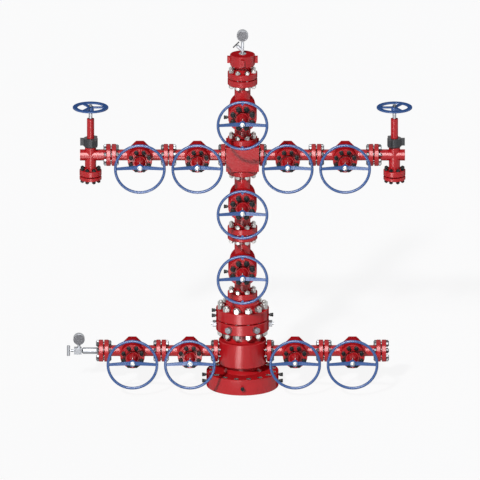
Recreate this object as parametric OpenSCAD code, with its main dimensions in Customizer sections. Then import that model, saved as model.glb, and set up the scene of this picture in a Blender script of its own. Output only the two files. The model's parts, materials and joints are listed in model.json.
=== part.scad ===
// Gas wellhead valve stack: tubing head, adapter, master valves, flow cross, wing and annulus
// valves, two adjustable chokes, tree cap, needle valves and gauges.
// +Z is up, the handwheels face -Y, and the origin is the centre of the bottom flange's underside.

/* [Casing flange] */
// Outside diameter of the bottom flange
base_flange_d = 654; // [600:1:700]
// Thickness of the bottom flange
base_flange_t = 149; // [132:1:165]
// Distance from the bottom flange's rim to its bolt circle
base_bolt_inset = 44.5; // [40:0.5:48]
// Number of stud holes in the bottom flange
base_bolts = 16; // [12:4:20]
// Diameter of the bottom flange's stud holes
base_hole_d = 48; // [40:1:52]
// Diameter of the bottom flange's raised face
base_face_d = 428; // [400:1:450]
// Bore that opens at the bottom flange
base_bore = 220; // [180:1:230]
// Depth of that bore, up to the hanger
base_bore_depth = 420; // [300:5:480]
// Outside diameter of the ring groove in the bottom flange's face
base_groove_d = 356; // [330:1:380]
// Height of the lower test fitting at each side of the bottom flange
base_port_low = 46; // [36:1:54]
// Height of the upper test fitting at each side of the bottom flange
base_port_high = 105; // [96:1:112]
// Height of the test fitting at the front of the bottom flange
base_port_front = 77; // [36:1:108]

/* [Tubing head] */
// Diameter of the lower neck
lower_neck_d = 300; // [280:1:330]
// Height of the lower neck
lower_neck_h = 72; // [60:1:100]
// Radius of the sweep between lower neck and flange
lower_neck_sweep = 26; // [10:1:40]
// Diameter of the head's bowl
bowl_d = 430; // [420:1:460]
// Height of the head's bowl
bowl_h = 222; // [216:1:250]
// Diameter of the upper neck
upper_neck_d = 304; // [280:1:330]
// Height of the upper neck
upper_neck_h = 96; // [84:1:140]
// How far the sweep at the upper neck's foot stands out of it, and its height
upper_neck_sweep = 16; // [6:1:24]
// Height of the side outlets above the bowl's foot
outlet_h = 110; // [105:1:114]
// Diameter of the boss at a side outlet
outlet_boss_d = 120; // [112:1:130]
// How far that boss stands out of the bowl
outlet_pad = 2; // [1:0.5:12]
// Chamfer round the top and foot of the bowl
bowl_edge = 5; // [3:1:12]

/* [Head flange and adapter] */
// Outside diameter of the head's top flange and the adapter's flange
head_flange_d = 479.4; // [460:0.2:500]
// Thickness of the head's top flange and the adapter's flange
head_flange_t = 103.2; // [95:0.2:115]
// Distance from that rim to the bolt circle
head_bolt_inset = 38.1; // [34:0.1:42]
// Number of studs in the head's top flange
head_bolts = 12; // [8:4:16]
// Diameter of the head flange's stud holes
head_hole_d = 41; // [36:1:45]
// Diameter of the head flange's raised face
head_face_d = 301.6; // [280:0.2:320]
// Outside diameter of the ring groove in the head flange's face
head_groove_d = 242; // [225:1:260]
// Diameter of the adapter's hub at its foot
adapter_hub_d = 304; // [290:1:320]
// Diameter of the adapter's hub at its top face
adapter_top_d = 284; // [275:1:290]
// Height of the adapter's hub
adapter_hub_h = 94; // [84:1:130]
// Height at which the hub starts to narrow
adapter_taper_z = 50; // [30:1:60]
// Height of the hub's taper
adapter_taper_h = 11; // [6:1:16]
// Height of the lower test fitting on the left of the adapter's flange
adapter_port_low = 24; // [20:1:30]
// Height of the upper test fitting on the left of the adapter's flange
adapter_port_high = 74; // [68:1:78]
// Height of the test fitting on the right of the adapter's flange
adapter_port_right = 31; // [20:1:78]
// Number of lock-down screws round the head's top flange
lock_screws = 6; // [4:2:8]
// Size across the flats of a lock-down screw's gland nut
lock_gland_af = 54; // [46:1:60]
// How far a gland nut stands out of the flange
lock_gland_l = 30; // [22:1:40]
// Height of the lock-down screws above the head flange's back
lock_screw_h = 52; // [44:1:58]
// Diameter of a lock-down screw
lock_screw_d = 24; // [18:1:30]
// How far a screw stands out of its gland nut
lock_screw_out = 16; // [8:1:24]
// Depth of the flat that a gland nut sits in
lock_flat = 6; // [4:1:10]

/* [Vertical run] */
// Outside diameter of a run flange
run_flange_d = 269.9; // [260:0.1:285]
// Thickness of a run flange
run_flange_t = 58.4; // [50:0.1:66]
// Distance from a run flange's rim to its bolt circle
run_bolt_inset = 27; // [24:0.5:30]
// Diameter of a run flange's stud holes
run_hole_d = 29; // [24:1:32]
// Diameter of a run flange's raised face
run_face_d = 151.6; // [140:0.1:165]
// Outside diameter of the ring groove in a run flange's face
run_groove_d = 122; // [110:1:132]
// Diameter of a run valve's neck
run_neck_d = 145; // [130:1:150]
// Face-to-face length of a run valve
run_valve_l = 619.1; // [600:0.1:660]
// Diameter of a run valve's round body
run_body_d = 230; // [214:1:244]
// Diameter of the collar in front of that body
run_collar_d = 260; // [248:1:272]
// How far the collar reaches behind the run
run_collar_back = 20; // [0:1:40]
// Depth of a run valve's body behind the run
run_body_back = 184; // [160:1:200]
// Depth of a run valve's body in front of the run
run_body_front = 180; // [165:1:195]
// Diameter of a run valve's bonnet flange
run_bonnet_d = 260; // [250:1:274]
// Distance from that flange's rim to its bolt circle
run_bonnet_inset = 36.5; // [33:0.5:40]
// Distance from the run to the face of a run valve's bearing housing
run_stem_reach = 403; // [385:1:430]

/* [Wing and annulus runs] */
// Bore of the wing and annulus runs
wing_bore = 52; // [40:1:60]
// Outside diameter of a wing flange
wing_flange_d = 200; // [190:1:212]
// Thickness of a wing flange
wing_flange_t = 44.4; // [38:0.1:52]
// Distance from a wing flange's rim to its bolt circle
wing_bolt_inset = 20.6; // [18:0.1:23]
// Diameter of a wing flange's stud holes
wing_hole_d = 23; // [19:1:26]
// Diameter of a wing flange's raised face
wing_face_d = 111; // [100:1:120]
// Outside diameter of the ring groove in a wing flange's face
wing_groove_d = 88; // [78:1:94]
// Diameter of a wing valve's neck
wing_neck_d = 100; // [85:1:104]
// Face-to-face length of a wing valve
wing_valve_l = 520.7; // [500:0.1:560]
// Size across the flats of a wing valve's eight-sided body
wing_body_af = 194; // [180:1:205]
// Depth of a wing valve's body behind the run
wing_body_back = 124; // [104:1:140]
// Width of each flat at the top, bottom and sides of that body
wing_body_flat = 69; // [60:1:84]
// Depth of a wing valve's body in front of the run
wing_body_front = 130; // [118:1:140]
// Diameter of a wing valve's bonnet flange
wing_bonnet_d = 222; // [212:1:235]
// Distance from that flange's rim to its bolt circle
wing_bonnet_inset = 22.5; // [20:0.5:26]
// Distance from the run to the face of a wing valve's bearing housing
wing_stem_reach = 364; // [345:1:390]

/* [Flanged joints] */
// Height of a raised face above its flange
face_h = 5; // [2:0.5:6]
// Width of a ring groove at the face
groove_w = 12; // [8:0.5:16]
// Depth of a ring groove
groove_depth = 7; // [4:0.5:10]
// Chamfer on the rims of flanges and bodies
edge = 4; // [1:0.5:8]
// Number of studs in the run, wing and bonnet flanges
small_bolts = 8; // [6:2:10]
// Diameter of a bonnet's stud holes
bonnet_hole_d = 24; // [18:1:28]

/* [Bonnets] */
// Thickness of a bonnet flange
bonnet_t = 57; // [45:1:65]
// Diameter of a bearing housing at the bonnet flange
housing_d = 116; // [100:1:124]
// Length of a bearing housing's widest part
housing_l = 36; // [24:1:50]
// Diameter of a bearing housing's nose at the wheel
nose_d = 62; // [50:1:72]
// Length of that nose
nose_l = 44; // [30:1:50]
// Depth of the stem's bearing in the housing
bearing_depth = 90; // [60:1:110]

/* [Gate valve handwheels] */
// Outside diameter of a gate valve's handwheel
wheel_d = 470; // [430:1:500]
// Diameter of the wheel's rim tube
rim_tube_d = 25; // [18:0.5:30]
// How far the rim stands in front of the hub
wheel_dish = 40; // [20:1:60]
// Width of a spoke at the hub
spoke_hub_w = 33; // [28:1:46]
// Width of a spoke at the rim
spoke_rim_w = 24; // [16:1:32]
// Thickness of a spoke
spoke_t = 12; // [8:1:15]
// Length of the pointed stubs inside the rim of a run valve's wheel
stub_l = 33; // [20:1:45]
// Width of those stubs at the rim
stub_w = 52; // [30:1:60]
// Thickness of those stubs
stub_t = 10; // [6:0.5:14]
// Diameter of the wheel's hub
hub_d = 61; // [50:1:72]
// Length of the wheel's hub
hub_l = 30; // [22:1:40]
// Diameter of the stem
stem_d = 28; // [22:1:34]
// Gap between the hub and the bearing housing
hub_gap = 8; // [5:1:15]
// Diameter of the shear pin behind the hub
shear_pin_d = 7; // [4:0.5:7]
// Length of the shear pin
shear_pin_l = 88; // [70:1:100]
// Running clearance round every stem
stem_clearance = 0.05; // [0.02:0.01:0.1]

/* [Flow cross] */
// Width and depth of the cross block
cross_w = 299.3; // [290:0.1:320]
// Height of the cross block
cross_h = 229; // [215:1:260]

/* [Chokes] */
// Diameter of the choke's barrel and its outlet leg
choke_d = 102; // [92:1:106]
// Distance from the choke's inlet face to its stem's axis
choke_axis_l = 187; // [170:1:210]
// Length of the barrel past the stem's axis
choke_end_l = 96; // [82:1:112]
// Distance from the run's axis down to the outlet face
choke_outlet_l = 194; // [184:1:220]
// Thickness of the choke's outlet flange
choke_outlet_t = 56; // [46:1:64]
// Thickness of the companion flange under it
companion_t = 36; // [30:1:46]
// Distance from the run's axis up to the union nut's foot
choke_neck_l = 75; // [68:1:90]
// Diameter of the union nut
union_nut_d = 131; // [124:1:140]
// Height of the union nut
union_nut_h = 86; // [75:1:100]
// How far a lug of the union nut stands out
union_lug_l = 29; // [20:1:36]
// Height of a lug of the union nut
union_lug_h = 64; // [50:1:70]
// Width of a lug of the union nut
union_lug_w = 34; // [24:1:44]
// Height of the lugs above the union nut's foot
union_lug_z = 19; // [14:1:20]
// Diameter of the choke's bonnet tube
choke_tube_d = 66; // [58:1:74]
// Length of the bonnet tube above the union nut
choke_tube_l = 185; // [160:1:220]
// Depth of the bonnet tube's seat in the union nut
choke_tube_seat = 30; // [20:1:40]
// Diameter of the choke's stem
choke_stem_d = 34; // [28:1:40]
// Length of the stem shown below the wheel, half-way open
choke_stem_l = 78; // [66:1:100]
// Outside diameter of the choke's handwheel
choke_wheel_d = 324; // [300:1:350]
// Width of the choke wheel's flat rim
choke_rim_w = 40; // [30:1:46]
// Thickness of the choke wheel's flat rim
choke_rim_t = 14; // [10:1:20]
// Width of a choke wheel's spoke
choke_spoke_w = 30; // [22:1:36]
// Diameter of the choke wheel's hub
choke_hub_d = 60; // [52:1:70]
// Length of the choke wheel's hub
choke_hub_l = 34; // [26:1:44]

/* [Tree cap] */
// Diameter of the tree cap
cap_d = 226; // [210:1:240]
// Height of the tree cap
cap_h = 119; // [105:1:135]
// Diameter of the cap's flat foot
cap_foot_d = 140; // [130:1:160]
// Height of the rounded taper at the cap's foot
cap_taper_h = 30; // [20:1:40]
// Diameter of the neck under the cap
cap_neck_d = 120; // [110:1:130]
// Height of the neck between flange and cap
cap_neck_h = 48; // [40:1:70]
// How far a hammer lug stands out of the cap
cap_lug_l = 26; // [16:1:34]
// Width of a hammer lug
cap_lug_w = 36; // [30:1:50]
// Height of a hammer lug
cap_lug_h = 60; // [50:1:70]

/* [Gauges and needle valves] */
// Diameter of a gauge's case
gauge_d = 104; // [90:1:116]
// Depth of a gauge's case
gauge_t = 52; // [40:1:60]
// Diameter of a gauge's stem
gauge_stem_d = 17; // [12:1:20]
// Size across the flats of the gauge's hexagon socket
gauge_hex_af = 24; // [20:1:28]
// Length of the hexagon socket under the top gauge
top_gauge_hex_l = 33; // [20:1:38]
// Length of the hexagon socket under the annulus gauge
annulus_gauge_hex_l = 22; // [12:1:28]
// Height of the top gauge's centre above the needle valve's body
top_gauge_rise = 96; // [92:1:110]
// Height of the annulus gauge's centre above the annulus run
annulus_gauge_rise = 112; // [108:1:130]
// Length of the top needle valve's tee bar
top_tee_l = 78; // [60:1:84]
// Diameter of the top needle valve's tee bar
top_tee_d = 12; // [10:1:14]
// Length of the annulus needle valve's tee bar
annulus_tee_l = 96; // [80:1:110]
// Diameter of the annulus needle valve's tee bar
annulus_tee_d = 29; // [16:1:32]
// Distance from the top needle valve's centre to its bonnet's end
top_bonnet_l = 70; // [64:1:80]
// Length of the annulus needle valve's bonnet
annulus_bonnet_l = 30; // [27:1:44]
// Diameter of the round gland on that bonnet
gland_ball_d = 27; // [22:1:32]
// Length of the annulus needle valve's block
annulus_block_l = 69; // [60:1:84]
// Height of that block
annulus_block_h = 60; // [52:1:70]
// Depth of that block from front to back
annulus_block_t = 50; // [40:1:60]
// Diameter of the round plug on the block's front
block_plug_d = 54; // [40:1:58]
// How far that plug stands out
block_plug_l = 6; // [3:1:10]
// How far the annulus gauge stands inwards of the block's middle
annulus_gauge_shift = 10; // [0:1:15]
// Size across the flats of a needle valve's bonnet
needle_bonnet_af = 27; // [24:1:29]
// Diameter of a needle valve's stem
needle_stem_d = 12; // [9:1:14]
// Outside diameter of the annulus nipple
nipple_d = 60.3; // [50:0.1:70]
// Length of the annulus nipple
nipple_l = 142; // [120:1:180]
// Length of the cone between nipple and block
nipple_cone_l = 14; // [8:1:20]

/* [Small fittings] */
// Diameter of a test or grease fitting's head
fitting_head_d = 36; // [28:1:40]
// Diameter of a fitting's shank
fitting_shank_d = 20; // [14:1:24]
// Height of a fitting's mushroom head
fitting_head_h = 16; // [10:1:20]
// Diameter of a fitting's neck
fitting_neck_d = 14; // [10:1:18]
// How far a fitting stands out
fitting_l = 40; // [32:1:50]
// Depth of a fitting's seat
fitting_seat = 12; // [8:1:16]
// Clearance of a fitting's shank in its seat
fitting_clearance = 0.2; // [0.1:0.05:0.4]

/* [Hidden] */
$fn = 72;

// Paint and metal, as the photograph shows them
paint_red = "#c4282e";
paint_blue = "#3a62b0";
bare_steel = "#c9cac6";
dark_steel = "#4a4a4c";
black_steel = "#222324";

// A flange is described by
// [outside diameter, thickness, bolt circle, studs, stud hole, raised face, ring groove]
OD = 0;
THICK = 1;
CIRCLE = 2;
STUDS = 3;
HOLE = 4;
FACE = 5;
GROOVE = 6;
base_flange = [
    base_flange_d, base_flange_t, base_flange_d - 2 * base_bolt_inset, base_bolts, base_hole_d,
    base_face_d, base_groove_d
];
head_flange = [
    head_flange_d, head_flange_t, head_flange_d - 2 * head_bolt_inset, head_bolts, head_hole_d,
    head_face_d, head_groove_d
];
run_flange = [
    run_flange_d, run_flange_t, run_flange_d - 2 * run_bolt_inset, small_bolts, run_hole_d,
    run_face_d, run_groove_d
];
wing_flange = [
    wing_flange_d, wing_flange_t, wing_flange_d - 2 * wing_bolt_inset, small_bolts, wing_hole_d,
    wing_face_d, wing_groove_d
];
// The same flange at other thicknesses
function wing_flange_of(thickness) = [for (i = [0 : GROOVE]) i == THICK ? thickness : wing_flange[i]];
choke_outlet = wing_flange_of(choke_outlet_t);
companion = wing_flange_of(companion_t);

// Heights up the stack
bowl_z = base_flange_t + lower_neck_h;
neck_z = bowl_z + bowl_h;
head_flange_z = neck_z + upper_neck_h;
head_top_z = head_flange_z + head_flange_t;
adapter_top_z = head_top_z + head_flange_t + adapter_hub_h;
lower_master_z = adapter_top_z + run_valve_l / 2;
upper_master_z = lower_master_z + run_valve_l;
cross_z = upper_master_z + run_valve_l / 2 + cross_h / 2;
swab_z = cross_z + cross_h / 2 + run_valve_l / 2;
cap_flange_z = swab_z + run_valve_l / 2;
cap_z = cap_flange_z + run_flange_t + cap_neck_h;
cap_top_z = cap_z + cap_h;
annulus_z = bowl_z + outlet_h;

// Places along the wings and the annulus runs
outlet_x = bowl_d / 2 + outlet_pad;
inner_wing_x = cross_w / 2 + wing_valve_l / 2;
outer_wing_x = inner_wing_x + wing_valve_l;
wing_end_x = outer_wing_x + wing_valve_l / 2;
choke_x = wing_end_x + choke_axis_l;
inner_annulus_x = outlet_x + wing_valve_l / 2;
outer_annulus_x = inner_annulus_x + wing_valve_l;
annulus_end_x = outer_annulus_x + wing_valve_l / 2;

// Choke heights
union_nut_z = cross_z + choke_neck_l;
choke_tube_top_z = union_nut_z + union_nut_h + choke_tube_l;
choke_hub_z = choke_tube_top_z + choke_stem_l;
choke_outlet_z = cross_z - choke_outlet_l;

// How far a cut runs past the face that it opens
cut = 1;
// Sizes that follow from the others
thread_hole_depth = 40;
collar_d = 66;
collar_h = 7;

// Round stock standing on z = 0 with both rims chamfered
module chamfered_disc(d, h, c = edge) {
    rotate_extrude()
        polygon([[0, 0], [d / 2 - c, 0], [d / 2, c], [d / 2, h - c], [d / 2 - c, h], [0, h]]);
}

// Hexagon bar standing on z = 0, measured across its flats
module hex_bar(af, h) {
    cylinder(d = af / cos(30), h = h, $fn = 6);
}

// Stud holes on a flange's bolt circle, straddling the main axes
module stud_holes(f, depth) {
    for (i = [0 : f[STUDS] - 1])
        rotate([0, 0, (i + 0.5) * 360 / f[STUDS]])
            translate([f[CIRCLE] / 2, 0, -cut])
                cylinder(d = f[HOLE], h = depth + 2 * cut);
}

// Flange with its raised and grooved face on z = 0, its back at its thickness, and a swept root
// to its neck
module flange(f, neck_d, root = 8) {
    r = f[OD] / 2;
    groove_r = f[GROOVE] / 2;
    groove_flank = groove_w / 4;
    difference() {
        rotate_extrude()
            polygon([
                [0, 0], [groove_r - groove_w, 0], [groove_r - groove_w + groove_flank, groove_depth],
                [groove_r - groove_flank, groove_depth], [groove_r, 0], [f[FACE] / 2, 0],
                [f[FACE] / 2, face_h], [r - edge, face_h],
                [r, face_h + edge], [r, f[THICK] - edge], [r - edge, f[THICK]],
                [neck_d / 2 + root, f[THICK]], [neck_d / 2, f[THICK] + root], [0, f[THICK] + root]
            ]);
        stud_holes(f, f[THICK]);
    }
}

// Seat for a fitting's shank, opening at z = 0 towards +z
module fitting_seat_cut() {
    translate([0, 0, -fitting_seat])
        cylinder(d = fitting_shank_d + 2 * fitting_clearance, h = fitting_seat + edge + 40);
}

// Test or grease fitting that stands out of the surface at z = 0: shank, neck and mushroom head
module fitting() {
    shank_out = 8;
    crown = 4;
    neck_r = fitting_neck_d / 2;
    head_z = fitting_l - fitting_head_h;
    rotate_extrude()
        polygon([
            [0, -fitting_seat], [fitting_shank_d / 2, -fitting_seat],
            [fitting_shank_d / 2, shank_out], [neck_r, shank_out + crown], [neck_r, head_z],
            [fitting_head_d / 2 - crown, head_z], [fitting_head_d / 2, head_z + crown],
            [fitting_head_d / 2, fitting_l - crown], [fitting_head_d / 2 - crown, fitting_l],
            [0, fitting_l]
        ]);
}

// Places of the test fittings on a flange's rim: [rim radius, height, angle round the vertical axis]
right = 0;
left = 180;
front = 270;
rim_ports = [
    [base_flange_d / 2, base_port_low, left], [base_flange_d / 2, base_port_high, left],
    [base_flange_d / 2, base_port_low, right], [base_flange_d / 2, base_port_high, right],
    [base_flange_d / 2, base_port_front, front]
];
adapter_ports = [
    [head_flange_d / 2, head_top_z + adapter_port_low, left],
    [head_flange_d / 2, head_top_z + adapter_port_high, left],
    [head_flange_d / 2, head_top_z + adapter_port_right, right]
];

// Puts a child that points along +z on each port of a list, pointing outwards
module at_ports(ports) {
    for (p = ports)
        rotate([0, 0, p[2]])
            translate([p[0], 0, p[1]])
                rotate([0, 90, 0])
                    children();
}

// The same on the left rim of each run valve's bonnet flange
module at_bonnet_ports() {
    at_places(run_places)
        translate([-run_bonnet_d / 2, -run_body_front - bonnet_t / 2, 0])
            rotate([0, -90, 0])
                children();
}

// Lock-down screw places round the head's top flange
module at_lock_screws() {
    for (i = [0 : lock_screws - 1])
        translate([0, 0, head_flange_z + lock_screw_h])
            rotate([0, 0, i * 360 / lock_screws])
                translate([head_flange_d / 2, 0, 0])
                    rotate([0, 90, 0])
                        children();
}

// Tubing head: bottom flange, swept neck, bowl with two studded outlets, neck and top flange
module tubing_head() {
    color(paint_red)
        difference() {
            union() {
                flange(base_flange, lower_neck_d, lower_neck_sweep);
                cylinder(d = lower_neck_d, h = bowl_z + bowl_edge);
                translate([0, 0, bowl_z])
                    chamfered_disc(bowl_d, bowl_h, bowl_edge);
                translate([0, 0, neck_z - bowl_edge])
                    cylinder(d = upper_neck_d, h = upper_neck_h + 2 * bowl_edge);
                translate([0, 0, neck_z])
                    cylinder(d1 = upper_neck_d + 2 * upper_neck_sweep, d2 = upper_neck_d, h = upper_neck_sweep);
                translate([0, 0, head_top_z])
                    mirror([0, 0, 1])
                        flange(head_flange, upper_neck_d);
                for (side = [-1, 1])
                    translate([0, 0, annulus_z])
                        rotate([0, side * 90, 0])
                            cylinder(d = outlet_boss_d, h = outlet_x);
            }
            translate([0, 0, -cut])
                cylinder(d = base_bore, h = base_bore_depth + cut);
            for (side = [-1, 1])
                translate([side * outlet_x, 0, annulus_z])
                    rotate([0, -side * 90, 0])
                        stud_holes(wing_flange, thread_hole_depth);
            at_ports(rim_ports)
                fitting_seat_cut();
            at_lock_screws()
                lock_screw_seat();
        }
}

// Adapter: flange to the head and a hub with a studded top face
module tubing_head_adapter() {
    narrow_z = adapter_taper_z + adapter_taper_h;
    color(paint_red)
        difference() {
            union() {
                translate([0, 0, head_top_z])
                    flange(head_flange, adapter_hub_d, 14);
                translate([0, 0, head_top_z + head_flange_t])
                    rotate_extrude()
                        polygon([
                            [0, -edge], [adapter_hub_d / 2, -edge], [adapter_hub_d / 2, adapter_taper_z],
                            [adapter_top_d / 2, narrow_z], [adapter_top_d / 2, adapter_hub_h - edge],
                            [adapter_top_d / 2 - edge, adapter_hub_h], [0, adapter_hub_h]
                        ]);
            }
            translate([0, 0, adapter_top_z - thread_hole_depth])
                stud_holes(run_flange, thread_hole_depth);
            at_ports(adapter_ports)
                fitting_seat_cut();
        }
}

// Hole and flat spot-face of one lock-down screw, from its place on the rim
module lock_screw_seat() {
    flat_d = lock_gland_af / cos(30) + 4;
    translate([0, 0, -lock_flat])
        cylinder(d = flat_d, h = lock_flat + flat_d);
}

// One lock-down screw: hexagon gland nut and the end of the screw in it
module lock_down_screw() {
    translate([0, 0, -lock_flat])
        hex_bar(lock_gland_af, lock_gland_l + lock_flat);
    translate([0, 0, lock_gland_l])
        cylinder(d = lock_screw_d, h = lock_screw_out);
}

module lock_down_screws() {
    color(bare_steel)
        at_lock_screws()
            lock_down_screw();
}

module test_fittings() {
    color(black_steel) {
        at_ports(rim_ports)
            fitting();
        at_ports(adapter_ports)
            fitting();
        at_bonnet_ports()
            fitting();
    }
}

// Ends, necks and flanges that run valves and wing valves share, along z, centred
module valve_run(f, neck_d, length) {
    for (end = [0, 1])
        mirror([0, 0, end])
            translate([0, 0, -length / 2])
                flange(f, neck_d);
    cylinder(d = neck_d, h = length - 2 * f[THICK], center = true);
}

// Studs' threaded holes in the front face of a valve's body
module bonnet_threads(circle, depth) {
    for (i = [0 : small_bolts - 1])
        rotate([0, (i + 0.5) * 360 / small_bolts, 0])
            translate([0, -depth, circle / 2])
                rotate([90, 0, 0])
                    cylinder(d = bonnet_hole_d, h = 2 * thread_hole_depth, center = true);
}

// Run valve's casting, flow along z: round body across the run with a wider collar in front
module run_valve() {
    difference() {
        union() {
            valve_run(run_flange, run_neck_d, run_valve_l);
            translate([0, run_body_back, 0])
                rotate([90, 0, 0])
                    chamfered_disc(run_body_d, run_body_back + run_body_front);
            translate([0, run_collar_back, 0])
                rotate([90, 0, 0])
                    chamfered_disc(run_collar_d, run_collar_back + run_body_front);
        }
        bonnet_threads(run_bonnet_d - 2 * run_bonnet_inset, run_body_front);
    }
}

module run_valve_at(z) {
    color(paint_red)
        translate([0, 0, z])
            run_valve();
}

module lower_master_valve() {
    run_valve_at(lower_master_z);
}

module upper_master_valve() {
    run_valve_at(upper_master_z);
}

module swab_valve() {
    run_valve_at(swab_z);
}

// Outline of a wing valve's body: a square with its corners cut off
module body_outline(across) {
    half = across / 2;
    flat = wing_body_flat / 2;
    polygon([
        [flat, -half], [half, -flat], [half, flat], [flat, half],
        [-flat, half], [-half, flat], [-half, -flat], [-flat, -half]
    ]);
}

// That body standing on z = 0, chamfered at both ends
module eight_sided_body(length) {
    hull() {
        linear_extrude(length)
            body_outline(wing_body_af - 2 * edge);
        translate([0, 0, edge])
            linear_extrude(length - 2 * edge)
                body_outline(wing_body_af);
    }
}

// Wing valve's casting, flow along z: eight-sided body with conical necks
module wing_valve() {
    shoulder = 24;
    difference() {
        union() {
            valve_run(wing_flange, wing_neck_d, wing_valve_l);
            for (end = [0, 1])
                mirror([0, 0, end])
                    translate([0, 0, wing_body_af / 2 - edge])
                        cylinder(d1 = wing_neck_d + shoulder, d2 = wing_neck_d, h = shoulder);
            translate([0, wing_body_back, 0])
                rotate([90, 0, 0])
                    eight_sided_body(wing_body_back + wing_body_front);
        }
        bonnet_threads(wing_bonnet_d - 2 * wing_bonnet_inset, wing_body_front);
    }
}

module wing_valve_at(x, z) {
    color(paint_red)
        translate([x, 0, z])
            rotate([0, 90, 0])
                wing_valve();
}

module left_inner_wing_valve() {
    wing_valve_at(-inner_wing_x, cross_z);
}

module left_outer_wing_valve() {
    wing_valve_at(-outer_wing_x, cross_z);
}

module right_inner_wing_valve() {
    wing_valve_at(inner_wing_x, cross_z);
}

module right_outer_wing_valve() {
    wing_valve_at(outer_wing_x, cross_z);
}

module left_inner_annulus_valve() {
    wing_valve_at(-inner_annulus_x, annulus_z);
}

module left_outer_annulus_valve() {
    wing_valve_at(-outer_annulus_x, annulus_z);
}

module right_inner_annulus_valve() {
    wing_valve_at(inner_annulus_x, annulus_z);
}

module right_outer_annulus_valve() {
    wing_valve_at(outer_annulus_x, annulus_z);
}

// Bonnet flange in front of a valve's body, with its back at that distance from the run
module bonnet(d, inset, back) {
    circle = d - 2 * inset;
    front = back + bonnet_t;
    rotate([90, 0, 0])
        difference() {
            rotate_extrude()
                polygon([
                    [0, back], [circle / 2 - bonnet_hole_d, back],
                    [circle / 2 - bonnet_hole_d, back + face_h], [d / 2 - edge, back + face_h],
                    [d / 2, back + face_h + edge], [d / 2, front - edge], [d / 2 - edge, front],
                    [0, front]
                ]);
            for (i = [0 : small_bolts - 1])
                rotate([0, 0, (i + 0.5) * 360 / small_bolts])
                    translate([circle / 2, 0, back - cut])
                        cylinder(d = bonnet_hole_d, h = bonnet_t + 2 * cut);
        }
}

// Where the valves stand: [x, z] of the run valves, the wing valves and the annulus valves
run_places = [for (z = [lower_master_z, upper_master_z, swab_z]) [0, z]];
wing_places = [for (x = [-outer_wing_x, -inner_wing_x, inner_wing_x, outer_wing_x]) [x, cross_z]];
annulus_places = [
    for (x = [-outer_annulus_x, -inner_annulus_x, inner_annulus_x, outer_annulus_x]) [x, annulus_z]
];

module at_places(places) {
    for (p = places)
        translate([p[0], 0, p[1]])
            children();
}

module run_bonnets() {
    color(paint_red)
        difference() {
            at_places(run_places)
                bonnet(run_bonnet_d, run_bonnet_inset, run_body_front);
            at_bonnet_ports()
                fitting_seat_cut();
        }
}

module wing_bonnets() {
    color(paint_red)
        at_places(wing_places)
            bonnet(wing_bonnet_d, wing_bonnet_inset, wing_body_front);
}

module annulus_bonnets() {
    color(paint_red)
        at_places(annulus_places)
            bonnet(wing_bonnet_d, wing_bonnet_inset, wing_body_front);
}

// Bearing housing on a bonnet flange, its nose bored for the wheel's stem
module bearing_housing(back, reach) {
    wide_end = back + housing_l;
    housing_r = housing_d / 2;
    nose_r = nose_d / 2;
    rotate([90, 0, 0])
        difference() {
            rotate_extrude()
                polygon([
                    [0, back], [housing_r, back], [housing_r, wide_end - edge],
                    [housing_r - edge, wide_end], [housing_r - 2 * edge, wide_end],
                    [nose_r, reach - nose_l], [nose_r, reach - edge], [nose_r - edge, reach],
                    [0, reach]
                ]);
            translate([0, 0, reach - bearing_depth])
                cylinder(d = stem_d + 2 * stem_clearance, h = bearing_depth + cut);
        }
}

module bearing_housings() {
    color(paint_red) {
        at_places(run_places)
            bearing_housing(run_body_front + bonnet_t, run_stem_reach);
        at_places(concat(wing_places, annulus_places))
            bearing_housing(wing_body_front + bonnet_t, wing_stem_reach);
    }
}

// Flow cross: forged block between the swab valve, the upper master valve and the wings
module flow_cross() {
    color(paint_red)
        difference() {
            translate([-cross_w / 2, -cross_w / 2, cross_z - cross_h / 2])
                cube([cross_w, cross_w, cross_h]);
            for (end = [0, 1])
                translate([0, 0, cross_z])
                    mirror([0, 0, end])
                        translate([0, 0, cross_h / 2 - thread_hole_depth])
                            stud_holes(run_flange, thread_hole_depth);
            for (side = [-1, 1])
                translate([side * cross_w / 2, 0, cross_z])
                    rotate([0, -side * 90, 0])
                        stud_holes(wing_flange, thread_hole_depth);
        }
}

// Choke body: inlet flange, barrel with a closed end, neck and flanged outlet leg
module choke_body(side) {
    leg = choke_outlet_l;
    bore_top = leg + wing_bore / 2;
    color(paint_red)
        translate([side * choke_x, 0, cross_z])
            difference() {
                union() {
                    translate([-side * choke_axis_l, 0, 0])
                        rotate([0, side * 90, 0]) {
                            flange(wing_flange, choke_d);
                            translate([0, 0, wing_flange_t])
                                cylinder(d = choke_d, h = choke_axis_l + choke_end_l - wing_flange_t);
                        }
                    translate([0, 0, -leg])
                        flange(choke_outlet, choke_d);
                    translate([0, 0, choke_outlet_t - leg])
                        cylinder(d = choke_d, h = leg - choke_outlet_t + choke_neck_l);
                }
                translate([0, 0, -leg - cut])
                    cylinder(d = wing_bore, h = bore_top + cut);
            }
}

module left_choke_body() {
    choke_body(-1);
}

module right_choke_body() {
    choke_body(1);
}

// Companion flanges bolted under the choke outlets, with short hubs for the flow lines
companion_hub_d = 80;
companion_hub_h = 6;
module choke_outlet_flanges() {
    color(paint_red)
        for (side = [-1, 1])
            translate([side * choke_x, 0, choke_outlet_z])
                mirror([0, 0, 1])
                    difference() {
                        flange(companion, companion_hub_d, companion_hub_h);
                        translate([0, 0, -cut])
                            cylinder(d = wing_bore, h = companion_t + companion_hub_h + 2 * cut);
                    }
}

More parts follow.
